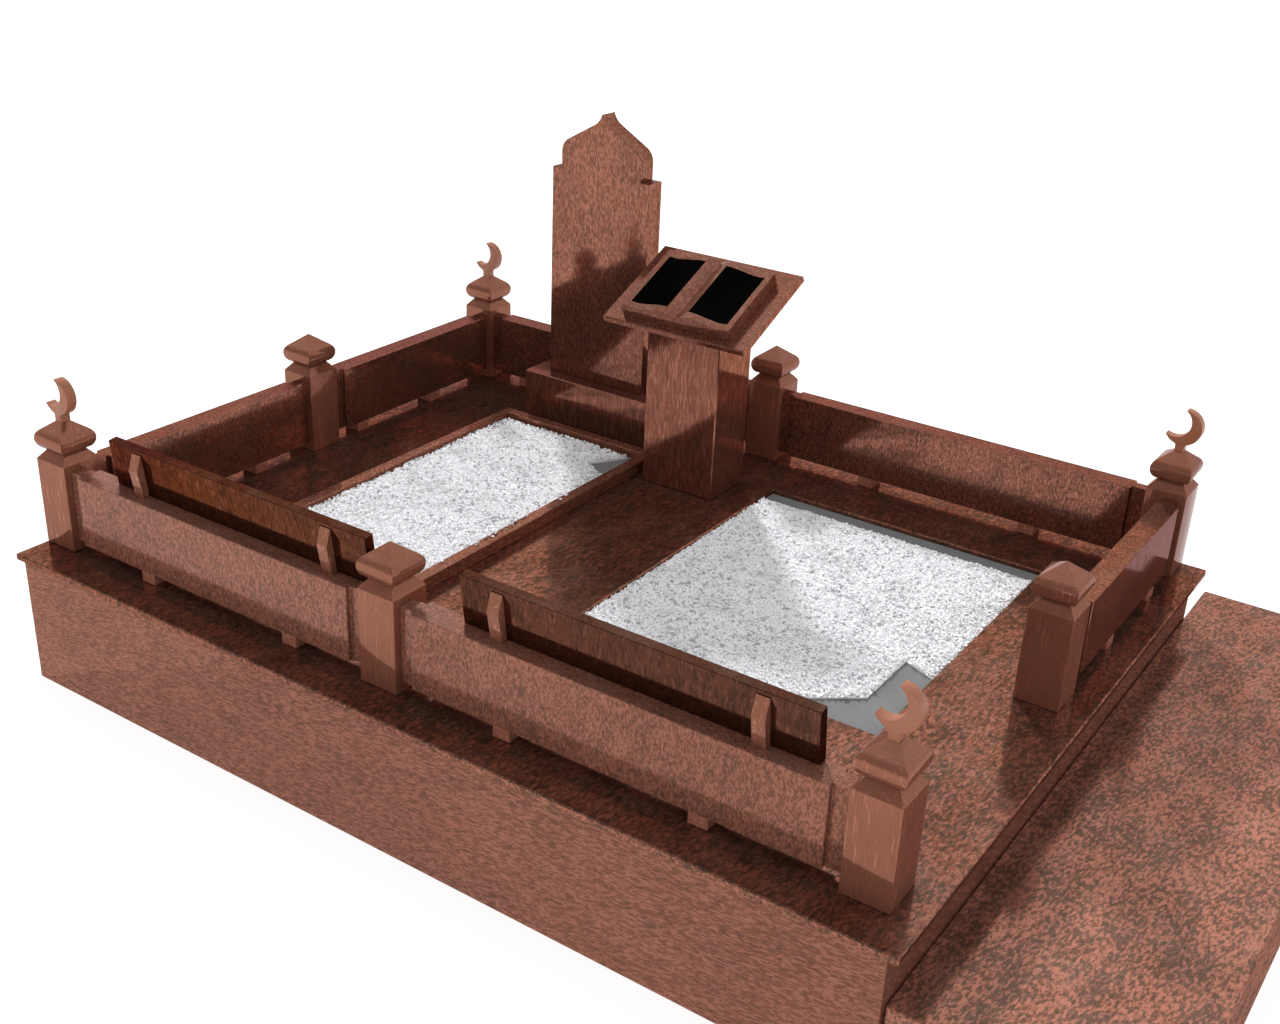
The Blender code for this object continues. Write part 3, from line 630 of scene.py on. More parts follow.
@functools.cache
def granite(finish):
    """Polished granite with that finish."""
    stone = settings().granite
    grains, stretch, turn, shares, mica_depth, cloud, tone, mirror = FINISHES[finish]
    material, tree, shader, place = start_material("granite_" + finish)
    turned = turned_place(tree, place, stretch, [math.radians(angle) for angle in turn])
    grain = place_group(tree, granite_grain())
    for label, value in (
        ("Grains per Metre", grains),
        ("Ground", toned(stone.ground, tone)),
        ("Feldspar", toned(stone.feldspar, tone)),
        ("Mica", toned(stone.mica, tone)),
        ("Mica Share", shares[0]),
        ("Feldspar Share", shares[1]),
        ("Mica Depth", mica_depth),
        ("Cloud", cloud),
    ):
        grain.inputs[label].default_value = value
    wear = place_group(tree, worn_edges())
    wear.inputs["Width"].default_value = stone.wear_width
    dust = place_group(tree, settled_dust())
    dust.inputs["Amount"].default_value = DUST_AMOUNT
    link_all(tree, (
        (turned, grain.inputs["Vector"]),
        (place, grain.inputs["Place"]),
        (place, wear.inputs["Vector"]),
        (place, dust.inputs["Vector"]),
    ))
    worn = share_of(tree, wear.outputs[0], WORN_SHARE)
    colour = mix_colours(tree, worn, grain.outputs["Color"], toned(stone.feldspar, WORN_TONE))
    colour = mix_colours(tree, dust.outputs[0], colour, DUST_COLOUR)
    rough = math_node(tree, "ADD", grain.outputs["Roughness"], stone.polish)
    rough = math_node(tree, "MULTIPLY_ADD", wear.outputs[0], WORN_ROUGHNESS, rough)
    rough = math_node(tree, "MULTIPLY_ADD", dust.outputs[0], DUST_ROUGHNESS, rough, clamp=True)
    if finish in SAWN_ENDS:
        rough = math_node(tree, "MULTIPLY_ADD", sawn_ends(tree), SAWN_ROUGHNESS, rough, clamp=True)
    shader.inputs["Metallic"].default_value = mirror
    shader.inputs["Specular Tint"].default_value = (*stone.edge_tint, 1.0)
    finish_surface(tree, shader, colour, rough, grain.outputs["Height"], strength=0.05, depth=0.0004)
    return material


@functools.cache
def finial_material():
    """Honed orange-brown stone with a fine even grain."""
    colour = settings().granite.finial
    material, tree, shader, place = start_material("finial_granite")
    speckle = noise_value(tree, place, scale=420.0, detail=4.0, roughness=0.65)
    cloud = noise_value(tree, place, scale=24.0, detail=3.0)
    grains = smooth_range(tree, speckle, low=0.35, high=0.7)
    base = mix_colours(tree, grains, toned(colour, 0.86), toned(colour, 1.16))
    base = mix_colours(tree, smooth_range(tree, cloud, low=0.3, high=0.75), base, toned(colour, 0.92))
    wear = place_group(tree, worn_edges())
    wear.inputs["Width"].default_value = 0.002
    tree.links.new(place, wear.inputs["Vector"])
    base = mix_colours(tree, share_of(tree, wear.outputs[0], 0.4), base, toned(colour, 1.45))
    rough = math_node(tree, "MULTIPLY_ADD", speckle, 0.22, 0.30)
    finish_surface(tree, shader, base, rough, speckle, strength=0.15, depth=0.0004)
    return material


def page_material():
    """Black polished stone with faint pale flecks."""
    colour = settings().granite.page
    material, tree, shader, place = start_material("black_page")
    grain = noise_value(tree, place, scale=620.0, detail=3.0, roughness=0.7)
    flecks = smooth_range(tree, grain, low=0.62, high=0.74)
    cloud = smooth_range(tree, noise_value(tree, place, scale=30.0, detail=4.0), low=0.4, high=0.7)
    base = mix_colours(tree, flecks, (*colour, 1.0), toned(colour, 2.5))
    dust = place_group(tree, settled_dust())
    dust.inputs["Amount"].default_value = 0.003
    tree.links.new(place, dust.inputs["Vector"])
    base = mix_colours(tree, dust.outputs[0], base, (0.30, 0.28, 0.26, 1.0))
    rough = math_node(tree, "MULTIPLY_ADD", cloud, 0.05, 0.07)
    shader.inputs["Specular IOR Level"].default_value = 0.0
    finish_surface(tree, shader, base, rough, flecks, strength=0.03, depth=0.0003)
    return material


@functools.cache
def chip_material():
    """Crushed white stone: a tone for each chip, broad grey patches of painted shadow, and fine grain.
    """
    chips = settings().chips
    material, tree, shader, place = start_material("white_chips_loose")
    geometry = tree.nodes.new("ShaderNodeNewGeometry")
    tone = smooth_range(tree, geometry.outputs["Random Per Island"], low=0.78, high=1.0)
    fine = noise_value(tree, place, scale=900.0, detail=3.0, roughness=0.6)
    # Broad grey patches are painted shadow, as if cast across the bed; the chips' own tones come from
    # the per-chip tone and grain
    cloud = noise_value(tree, place, scale=9.0, detail=4.0, roughness=0.6)
    painted_shadow_share = share_of(tree, smooth_range(tree, cloud, low=0.48, high=0.72), 0.5)
    base = mix_colours(tree, painted_shadow_share, (*chips.light, 1.0), toned(chips.light, 0.74))
    base = mix_colours(tree, tone, base, (*chips.dark, 1.0))
    grain = share_of(tree, smooth_range(tree, fine, low=0.45, high=0.75), 0.30)
    base = mix_colours(tree, grain, base, toned(chips.dark, 1.3))
    rough = math_node(tree, "MULTIPLY_ADD", fine, 0.25, 0.55)
    finish_surface(tree, shader, base, rough, fine, strength=0.3, depth=0.0006)
    return material


@functools.cache
def backing_material():
    """Grey mortar bed with fine sand grain."""
    colour = settings().chips.backing
    material, tree, shader, place = start_material("grey_mortar")
    sand = noise_value(tree, place, scale=520.0, detail=4.0, roughness=0.7)
    cloud = noise_value(tree, place, scale=11.0, detail=4.0, roughness=0.6)
    grains = smooth_range(tree, sand, low=0.3, high=0.7)
    base = mix_colours(tree, grains, toned(colour, 0.84), toned(colour, 1.14))
    base = mix_colours(tree, smooth_range(tree, cloud, low=0.35, high=0.75), base, toned(colour, 1.12))
    rough = math_node(tree, "MULTIPLY_ADD", sand, 0.2, 0.65)
    finish_surface(tree, shader, base, rough, sand, strength=0.4, depth=0.0008)
    return material


# Mesh helpers

ARRIS_STEPS = 3
CORNER_STEPS = 4
# Largest corner radius, as a share of the square's half width
LARGEST_CORNER = 0.9


def dress(name, material):
    """Gives a carried-over stone its finish."""
    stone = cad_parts[name]
    for slot in stone.material_slots:
        slot.material = material


def add_piece(name, mesh, materials, nodes, matrix=None):
    """A finer piece that stands for the named nodes."""
    piece = bpy.data.objects.new(name, mesh)
    bpy.context.scene.collection.objects.link(piece)
    if matrix is not None:
        mesh.transform(matrix)
    for material in materials:
        mesh.materials.append(material)
    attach(piece, BODY)
    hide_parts(*nodes)


def shade(mesh, sharp_from):
    """Smooth shading, with an edge kept sharp from that many degrees on."""
    mesh.shade_smooth()
    mesh.set_sharp_from_angle(angle=math.radians(sharp_from))


def arc(centre, radius, start, end, steps):
    """Points on a circle from one angle to the other, both included."""
    points = []
    for step in range(steps + 1):
        angle = start + (end - start) * step / steps
        points.append((centre[0] + radius * math.cos(angle), centre[1] + radius * math.sin(angle)))
    return points


def bezier(start, control, end, steps):
    """Points of a quadratic curve after its start, its end included."""
    points = []
    for step in range(1, steps + 1):
        share = step / steps
        rest = 1.0 - share
        points.append(tuple(
            rest * rest * start[axis] + 2 * rest * share * control[axis] + share * share * end[axis]
            for axis in range(2)
        ))
    return points


def loft(name, rings):
    """A closed skin over rings with the same number of points, capped at both ends."""
    shape = bmesh.new()
    rows = [[shape.verts.new(point) for point in ring] for ring in rings]
    count = len(rows[0])
    for lower, upper in zip(rows, rows[1:]):
        for index in range(count):
            after = (index + 1) % count
            shape.faces.new((lower[index], lower[after], upper[after], upper[index]))
    shape.faces.new(reversed(rows[0]))
    shape.faces.new(rows[-1])
    bmesh.ops.recalc_face_normals(shape, faces=shape.faces)
    mesh = bpy.data.meshes.new(name)
    shape.to_mesh(mesh)
    shape.free()
    return mesh


def inset_outline(points, distance):
    """The closed outline moved inwards, with mitred corners."""
    moved = []
    count = len(points)
    for index, point in enumerate(points):
        before = Vector(points[index - 1])
        here = Vector(point)
        after = Vector(points[(index + 1) % count])
        incoming = (here - before).normalized()
        outgoing = (after - here).normalized()
        normal = Vector((-incoming.y, incoming.x)) + Vector((-outgoing.y, outgoing.x))
        length = max(normal.length, 1.0)
        normal.normalize()
        moved.append(tuple(here + normal * distance * 2.0 / length))
    return moved


def quarter_round(radius):
    """Insets and drops of a rounded arris, from the flat face to the side."""
    levels = []
    for step in range(ARRIS_STEPS + 1):
        angle = math.pi / 2 * step / ARRIS_STEPS
        levels.append((radius * (1.0 - math.sin(angle)), radius * (1.0 - math.cos(angle))))
    return levels


def soft_plate(name, outline, thickness, arris):
    """A plate in X-Y, centred on z = 0, with rounded arrises all round.

    The outline runs counter-clockwise.
    """
    levels = [(inset, thickness / 2 - drop) for inset, drop in quarter_round(arris)]
    rings = []
    for inset, height in levels:
        rings.append([(x, y, -height) for x, y in inset_outline(outline, inset)])
    for inset, height in reversed(levels):
        rings.append([(x, y, height) for x, y in inset_outline(outline, inset)])
    return loft(name, rings)


def rounded_square(half, radius):
    """Corner-rounded square, counter-clockwise."""
    radius = min(radius, half * LARGEST_CORNER)
    points = []
    for corner in range(4):
        start = math.pi / 2 * corner
        middle = start + math.pi / 4
        reach = (half - radius) * math.sqrt(2.0)
        centre = (reach * math.cos(middle), reach * math.sin(middle))
        points += arc(centre, radius, start, start + math.pi / 2, CORNER_STEPS)
    return points


# Posts and crescents

ROLL_STEPS = 14
# Half width of the flat on a pointed cap
APEX_HALF = 0.0006
# Rise of the slope's first step above the shaft, as a share of the arris
SLOPE_START = 0.6
POST_SHARP = 24.0
STONE_SHARP = 40.0
PAGE_SHARP = 32.0
MOON_STEPS = 48
MOON_BASE_STEPS = 16
FILLET_STEPS = 6


def post_stations(height, has_finial):
    """Half widths and heights of a post, from its foot up."""
    post = settings().posts
    low, high = node_box("post_mid_front")
    cap_half = (high.x - low.x) / 2
    neck_half = post.neck_side / 2
    shaft_half = post.shaft_side / 2
    waist = post.shaft_height + post.shoulder_rise
    equator = waist + post.underside_rise
    roll_top = equator + post.roll_rise
    roll_half = cap_half - post.roll_inset
    arris = settings().granite.arris
    slope_start = post.shaft_height + arris * SLOPE_START
    stations = [(shaft_half - arris, 0.0), (shaft_half, arris)]
    stations += [(shaft_half, post.shaft_height - arris), (shaft_half - arris, slope_start)]
    for step in range(ROLL_STEPS + 1):
        angle = math.pi / 2 * (1.0 - step / ROLL_STEPS)
        half = neck_half + (cap_half - neck_half) * math.cos(angle)
        stations.append((half, equator - post.underside_rise * math.sin(angle)))
    control = (cap_half, roll_top - post.roll_inset * math.tan(post.cap_pitch))
    stations += bezier((cap_half, equator), control, (roll_half, roll_top), ROLL_STEPS)
    top_half = APEX_HALF
    if has_finial:
        top_half = roll_half - (height - roll_top) / math.tan(post.cap_pitch)
    stations.append((top_half, height))
    return stations


def post_mesh(name, height, has_finial):
    """A post with its foot at the origin."""
    arris = settings().granite.arris
    rings = []
    for half, z in post_stations(height, has_finial):
        rings.append([(x, y, z) for x, y in rounded_square(half, arris)])
    mesh = loft(name, rings)
    shade(mesh, POST_SHARP)
    return mesh


def crescent_outline(radius):
    """The moon and its stem, counter-clockwise around the outer circle's centre."""
    moon = settings().crescents
    half = moon.stem_width / 2
    gap = moon.hollow_offset
    chord = (radius ** 2 - moon.hollow_radius ** 2 + gap ** 2) / (2 * gap)
    tip_turn = math.acos(chord / radius)
    inner_turn = math.acos((chord - gap) / moon.hollow_radius)
    hollow = (gap * math.cos(moon.opening), gap * math.sin(moon.opening))
    fillet_x = half + moon.stem_fillet
    fillet_y = -math.sqrt((radius + moon.stem_fillet) ** 2 - fillet_x ** 2)
    fillet_turn = math.atan2(fillet_y, fillet_x)
    foot = -radius - moon.stem_rise
    points = arc((0, 0), radius, moon.opening - tip_turn, fillet_turn, MOON_STEPS)
    points += arc(
        (fillet_x, fillet_y), moon.stem_fillet, math.pi + fillet_turn, math.pi, FILLET_STEPS
    )[1:]
    points += [(half, foot), (-half, foot)]
    points += arc((-fillet_x, fillet_y), moon.stem_fillet, 0.0, -fillet_turn, FILLET_STEPS)
    points += arc(
        (0, 0), radius, -math.pi - fillet_turn, moon.opening + tip_turn - math.tau, MOON_BASE_STEPS
    )[1:]
    points += arc(
        hollow, moon.hollow_radius, moon.opening + inner_turn,
        moon.opening + math.tau - inner_turn, MOON_STEPS,
    )[1:-1]
    return list(reversed(points))


class MEMORIAL_OT_make_posts(bpy.types.Operator):
    """Make the eight capped posts with soft arrises"""

    bl_idname = "memorial.make_posts"
    bl_label = "Posts"

    def execute(self, context):
        for column in COLUMNS:
            for row in ROWS:
                if column == "mid" and row == "mid":
                    continue
                name = "post_" + column + "_" + row
                low, high = node_box(name)
                has_finial = (column, row) in CORNERS
                stone = "stone_" + name
                mesh = post_mesh(stone, high.z - low.z, has_finial)
                stand = Matrix.Translation(((low.x + high.x) / 2, (low.y + high.y) / 2, low.z))
                add_piece(stone, mesh, [granite("post")], [name], stand)
        return {"FINISHED"}


class MEMORIAL_OT_make_crescents(bpy.types.Operator):
    """Make the four crescent finials"""

    bl_idname = "memorial.make_crescents"
    bl_label = "Crescents"

    def execute(self, context):
        moon = settings().crescents
        for column, row in CORNERS:
            name = "crescent_" + column + "_" + row
            low, high = node_box(name)
            post_low, post_high = node_box("post_" + column + "_" + row)
            centre_x = (post_low.x + post_high.x) / 2
            radius = high.x - centre_x
            centre_z = low.z + moon.stem_rise + radius
            mesh = soft_plate(name, crescent_outline(radius), high.y - low.y, moon.arris)
            shade(mesh, STONE_SHARP)
            stand = Matrix.Translation((centre_x, (low.y + high.y) / 2, centre_z))
            stand = stand @ Matrix.Rotation(math.pi / 2, 4, "X")
            moon_name = "moon_" + column + "_" + row
            add_piece(moon_name, mesh, [finial_material()], [name], stand)
        return {"FINISHED"}


# Headstone

HEADSTONE_STEPS = 24


def headstone_outline(width):
    """Ogee-headed stone with square shoulders, counter-clockwise from its foot."""
    stone = settings().headstone
    half = width / 2
    arch = half - stone.shoulder_width
    spring = (arch, stone.shoulder_height + stone.arch_spring)
    slope_start = (arch - stone.haunch_run, spring[1] + stone.arch_haunch)
    slope_end = (slope_start[0] - stone.slope_run, slope_start[1] + stone.slope_rise)
    pitch = stone.slope_rise / stone.slope_run
    haunch = (arch, slope_start[1] - stone.haunch_run * pitch)
    apex = (0.0, slope_end[1] + stone.tip_rise)
    sweep_x = slope_end[0] * stone.tip_sweep
    sweep = (sweep_x, slope_end[1] + (slope_end[0] - sweep_x) * pitch)
    shoulder = stone.shoulder_height
    right = [(half, 0.0), (half, shoulder), (arch, shoulder), spring]
    right += bezier(spring, haunch, slope_start, HEADSTONE_STEPS)
    right.append(slope_end)
    right += bezier(slope_end, sweep, apex, HEADSTONE_STEPS // 2)
    left = [(-x, y) for x, y in reversed(right[:-1])]
    return right + left


class MEMORIAL_OT_make_headstone(bpy.types.Operator):
    """Make the headstone and finish its plinth"""

    bl_idname = "memorial.make_headstone"
    bl_label = "Headstone"

    def execute(self, context):
        low, high = node_box("headstone")
        outline = headstone_outline(high.x - low.x)
        mesh = soft_plate("headstone_stone", outline, high.y - low.y, settings().granite.arris)
        shade(mesh, STONE_SHARP)
        stand = Matrix.Translation(((low.x + high.x) / 2, (low.y + high.y) / 2, low.z))
        stand = stand @ Matrix.Rotation(math.pi / 2, 4, "X")
        stone = [granite("headstone")]
        add_piece("headstone_stone", mesh, stone, ["headstone"], stand)
        dress("headstone_plinth", granite("lectern"))
        return {"FINISHED"}


# Lectern

# Distance between the stations that draw the curve of the pages
PAGE_STEP = 0.004


def book_height(offset):
    """Height of the pages at a distance from the spine."""
    book = settings().book
    offset = abs(offset)
    if offset <= book.crest_offset:
        swell = math.sin(math.pi / 2 * offset / book.crest_offset)
        return book.spine_height + (book.crest_height - book.spine_height) * swell
    if offset <= book.hollow_offset:
        share = (offset - book.crest_offset) / (book.hollow_offset - book.crest_offset)
        low, high = book.crest_height, book.hollow_height
    else:
        share = (offset - book.hollow_offset) / (book.width / 2 - book.hollow_offset)
        low, high = book.hollow_height, book.edge_height
    return low + (high - low) * (1.0 - math.cos(math.pi * share)) / 2


def book_stations():
    """Distances from the spine, with one at each edge of the black page."""
    book = settings().book
    arris = settings().granite.arris
    half = book.width / 2
    marks = sorted((
        0.0, book.crest_offset, book.page_start, book.page_end, book.hollow_offset, half - arris,
    ))
    stations = []
    for start, end in zip(marks, marks[1:]):
        steps = max(2, round((end - start) / PAGE_STEP))
        stations += [start + (end - start) * step / steps for step in range(steps)]
    stations.append(marks[-1])
    return [-offset for offset in reversed(stations[1:])] + stations


def lengthwise_marks():
    """Distances up the book from its foot, and how far each ring is pulled in."""
    book = settings().book
    arris = settings().granite.arris
    foot = [(place, pull) for pull, place in quarter_round(arris)]
    head = [(book.length - place, pull) for place, pull in reversed(foot)]
    return foot + [(book.page_foot, 0.0), (book.page_head, 0.0)] + head


def book_mesh():
    """The open book in the slope's own axes, with its black pages as a second material."""
    book = settings().book
    arris = settings().granite.arris
    half = book.width / 2
    stations = book_stations()
    rings = []
    for place, pull in lengthwise_marks():
        side = half - pull
        side_top = book_height(half) - arris - pull
        ring = [(-side, place, pull), (-side, place, side_top)]
        ring += [(offset, place, book_height(offset) - pull) for offset in stations]
        ring += [(side, place, side_top), (side, place, pull)]
        rings.append(ring)
    mesh = loft("lectern_pages", rings)
    for face in mesh.polygons:
        middle = face.center
        across = book.page_start < abs(middle.x) < book.page_end
        along = book.page_foot < middle.y < book.page_head
        if across and along and middle.z > book.spine_height:
            face.material_index = 1
    shade(mesh, PAGE_SHARP)
    return mesh


class MEMORIAL_OT_make_lectern(bpy.types.Operator):
    """Make the open book and finish the plate and column"""

    bl_idname = "memorial.make_lectern"
    bl_label = "Lectern"

    def execute(self, context):
        book = settings().book
        low, high = node_box("lectern_plate")
        rise = high.z - low.z
        run = high.y - low.y
        cosine = math.cos(book.plate_tilt)
        sine = math.sin(book.plate_tilt)
        tangent = math.tan(book.plate_tilt)
        thickness = (rise - run * tangent) / (cosine - sine * tangent)
        front_top_z = low.z + thickness * cosine
        slope = Matrix.Translation(((low.x + high.x) / 2, low.y, front_top_z))
        slope = slope @ Matrix.Rotation(book.plate_tilt, 4, "X")
        slope = slope @ Matrix.Translation((0.0, book.margin, BOND_GAP))
        add_piece(
            "lectern_pages", book_mesh(), [granite("book"), page_material()],
            ["lectern_book"], slope,
        )
        dress("lectern_plate", granite("lectern"))
        dress("lectern_column", granite("lectern"))
        return {"FINISHED"}


# Beds of chips

WELD_DISTANCE = 0.0001
TOP_TOLERANCE = 0.0005
# Crushed shapes that the chips are drawn from
TEMPLATE_COUNT = 10
TEMPLATE_POINTS = 11
TEMPLATE_REACH = (0.42, 0.56)
TEMPLATE_FLATNESS = 0.72
# Grid of the chips: distance of its rows and its jitter, as shares of the spacing
ROW_PITCH = 0.87
JITTER = 0.35
CHIP_SCALES = (0.72, 1.30)
LARGEST_TIP = 0.6
# Top of the flat underlay and swell of the heap, as shares of the layer's depth
UNDERLAY_TOP = 0.35
HEAP_MIDDLE = 0.5
HEAP_SWELL = 0.35
HEAPS_PER_METRE = 7.0
# Where spilled chips lie: across the kerb, and along the bed as shares of its length
SPILL_ACROSS = (0.05, 0.55)
SPILL_SPREAD = 0.10
LARGEST_SPREAD = 2.5


def inside(point, outline):
    """True if the point is within the closed outline."""
    x, y = point
    within = False
    for (x1, y1), (x2, y2) in zip(outline, outline[1:] + outline[:1]):
        if (y1 > y) != (y2 > y) and x < (x2 - x1) * (y - y1) / (y2 - y1) + x1:
            within = not within
    return within


def node_outline(name):
    """Plan outline of a layer, from the rim of its top face."""
    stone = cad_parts[name]
    top_z = node_box(name)[1].z
    shape = bmesh.new()
    shape.from_mesh(stone.data)
    shape.transform(stone.matrix_world)
    bmesh.ops.remove_doubles(shape, verts=shape.verts, dist=WELD_DISTANCE)
    top = [face for face in shape.faces if face.calc_center_median().z > top_z - TOP_TOLERANCE]
    following = {}
    for face in top:
        for loop in face.loops:
            if all(other is face or other not in top for other in loop.edge.link_faces):
                following[loop.vert] = loop.link_loop_next.vert
    start = next(iter(following))
    outline = [(start.co.x, start.co.y)]
    corner = following[start]
    while corner is not start:
        outline.append((corner.co.x, corner.co.y))
        corner = following[corner]
    shape.free()
    return outline


def chip_templates(draw):
    """A few crushed-stone shapes: hulls of points on a flattened ball."""
    templates = []
    for _ in range(TEMPLATE_COUNT):
        shape = bmesh.new()
        for _ in range(TEMPLATE_POINTS):
            direction = Vector((draw.gauss(0, 1), draw.gauss(0, 1), draw.gauss(0, 1))).normalized()
            point = direction * draw.uniform(*TEMPLATE_REACH)
            point.z *= TEMPLATE_FLATNESS
            shape.verts.new(point)
        hull = bmesh.ops.convex_hull(shape, input=shape.verts)
        loose = [item for item in hull["geom_interior"] if isinstance(item, bmesh.types.BMVert)]
        bmesh.ops.delete(shape, geom=loose, context="VERTS")
        shape.verts.index_update()
        corners = [vertex.co.copy() for vertex in shape.verts]
        faces = [tuple(vertex.index for vertex in face.verts) for face in shape.faces]
        templates.append((corners, faces))
        shape.free()
    return templates


def chip_places(draw, outline, spacing):
    """A jittered grid of places within the outline."""
    low_x = min(x for x, y in outline)
    high_x = max(x for x, y in outline)
    low_y = min(y for x, y in outline)
    high_y = max(y for x, y in outline)
    places = []
    pitch = spacing * ROW_PITCH
    for row in range(int((high_y - low_y) / pitch) + 1):
        shift = spacing / 2 if row % 2 else 0.0
        for column in range(int((high_x - low_x) / spacing) + 1):
            x = low_x + shift + spacing * column + draw.uniform(-JITTER, JITTER) * spacing
            y = low_y + pitch * row + draw.uniform(-JITTER, JITTER) * spacing
            if inside((x, y), outline):
                places.append((x, y))
    return places


def chip_shape(draw, templates, place):
    """Corners and faces of one chip, turned and tipped at random."""
    size = settings().chips.size * draw.uniform(*CHIP_SCALES)
    template, faces = draw.choice(templates)
    spin = Matrix.Rotation(draw.uniform(0, math.tau), 3, "Z")
    tip = Matrix.Rotation(draw.uniform(-LARGEST_TIP, LARGEST_TIP), 3, "X")
    return [spin @ tip @ corner * size + place for corner in template], faces


def spilled_places(draw, count):
    """Places on the right-hand kerb of the left bed, beside its chips."""
    bed_low, bed_high = node_box("left_bed_chips")
    kerb_high = node_box("left_bed_frame")[1]
    middle = (bed_low.y + bed_high.y) / 2
    reach = (bed_high.y - bed_low.y) * SPILL_SPREAD
    places = []
    for _ in range(count):
        across = draw.uniform(*SPILL_ACROSS)
        along = max(-LARGEST_SPREAD, min(LARGEST_SPREAD, draw.gauss(0.0, 1.0)))
        x = bed_high.x + (kerb_high.x - bed_high.x) * across
        places.append(Vector((x, middle + along * reach, kerb_high.z)))
    return places


class ChipHeap:
    """Corners and faces of one bed of loose chips"""

    def __init__(self, outline, low_z, top_z):
        """Starts with a flat underlay of that outline."""
        count = len(outline)
        self.corners = [Vector((x, y, low_z)) for x, y in outline]
        self.corners += [Vector((x, y, top_z)) for x, y in outline]
        self.faces = [tuple(reversed(range(count))), tuple(range(count, 2 * count))]
        for index in range(count):
            after = (index + 1) % count
            self.faces.append((index, after, after + count, index + count))

    def add(self, corners, faces):
        """Takes up one chip."""
        start = len(self.corners)
        self.corners += corners
        self.faces += [tuple(index + start for index in face) for face in faces]

    def mesh(self, name):
        """The heap as a mesh."""
        mesh = bpy.data.meshes.new(name)
        mesh.from_pydata(self.corners, [], self.faces)
        mesh.validate()
        mesh.update()
        return mesh


def chips_mesh(name, outline, low_z, high_z, limits, seed, spilled):
    """One bed of loose chips over a flat underlay, with some spilled beside it.

    The limits are the lowest and highest corner of the backing, which no chip leaves.
    """
    draw = random.Random(seed)
    templates = chip_templates(draw)
    underlay = low_z + (high_z - low_z) * UNDERLAY_TOP
    heap = ChipHeap(outline, low_z, underlay)
    for x, y in chip_places(draw, outline, settings().chips.spacing):
        swell = noise.noise(Vector((x * HEAPS_PER_METRE, y * HEAPS_PER_METRE, seed))) * HEAP_SWELL
        place = Vector((x, y, underlay + (high_z - underlay) * (swell + HEAP_MIDDLE)))
        corners, faces = chip_shape(draw, templates, place)
        drop = max(max(corner.z for corner in corners) - high_z, 0.0)
        for corner in corners:
            corner.x = min(max(corner.x, limits[0].x), limits[1].x)
            corner.y = min(max(corner.y, limits[0].y), limits[1].y)
            corner.z = max(corner.z - drop, low_z)
        heap.add(corners, faces)
    for place in spilled_places(draw, spilled):
        corners, faces = chip_shape(draw, templates, place)
        lift = Vector((0.0, 0.0, place.z - min(corner.z for corner in corners)))
        heap.add([corner + lift for corner in corners], faces)
    return heap.mesh(name)


class MEMORIAL_OT_make_beds(bpy.types.Operator):
    """Fill both beds with chips and finish the kerb and backings"""

    bl_idname = "memorial.make_beds"
    bl_label = "Beds"

    def execute(self, context):
        chips = settings().chips
        for number, side in enumerate(("left", "right")):
            name = side + "_bed_chips"
            low, high = node_box(name)
            limits = node_box(side + "_bed_backing")
            spilled = chips.spilled if side == "left" else 0
            outline = node_outline(name)
            mesh = chips_mesh(name, outline, low.z, high.z, limits, chips.seed + number, spilled)
            add_piece("loose_" + name, mesh, [chip_material()], [name])
            dress(side + "_bed_backing", backing_material())
        dress("left_bed_frame", granite("kerb"))
        return {"FINISHED"}


# Carried-over stones


class MEMORIAL_OT_dress_base(bpy.types.Operator):
    """Finish the base block, the deck slab and the step block"""

    bl_idname = "memorial.dress_base"
    bl_label = "Base and Deck"

    def execute(self, context):
        dress("base_plinth", granite("base"))
        dress("step_block", granite("step"))
        dress("deck_slab", granite("deck"))
        return {"FINISHED"}


class MEMORIAL_OT_dress_fence(bpy.types.Operator):
    """Finish the fence panels and the feet under them"""

    bl_idname = "memorial.dress_fence"
    bl_label = "Fence"

    def execute(self, context):
        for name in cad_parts:
            if name.startswith("panel_front"):
                dress(name, granite("panel"))
            elif name.startswith("panel_"):
                dress(name, granite("fence"))
            elif name.startswith("foot_"):
                dress(name, granite("foot"))
        return {"FINISHED"}


class MEMORIAL_OT_dress_tablets(bpy.types.Operator):
    """Finish the leaning tablets and their brackets"""

    bl_idname = "memorial.dress_tablets"
    bl_label = "Tablets"

    def execute(self, context):
        for side in ("left", "right"):
            dress("tablet_" + side, granite("tablet"))
            for number in (1, 2):
                dress("bracket_" + side + "_" + str(number), granite("bracket"))
        return {"FINISHED"}


# Stage

KEY_DIRECTION = Vector((0.70, -0.74, -0.62))
KEY_ANGLE = math.radians(5.0)
# How far the floor lies below the ground, so that the stones' undersides stay clear of it
FLOOR_DROP = 0.0005
SENSOR_WIDTH = 36.0
VIEW_DISTANCE = 200.0


def build_key(stage):
    """A sun from the back left, which the polish doesn't mirror."""
    data = bpy.data.lights.new("key", "SUN")
    data.energy = stage.key_strength
    data.angle = KEY_ANGLE
    key = bpy.data.objects.new("key", data)
    key.rotation_mode = "QUATERNION"
    key.rotation_quaternion = KEY_DIRECTION.to_track_quat("-Z", "Y")
    key.visible_glossy = False
    bpy.context.scene.collection.objects.link(key)


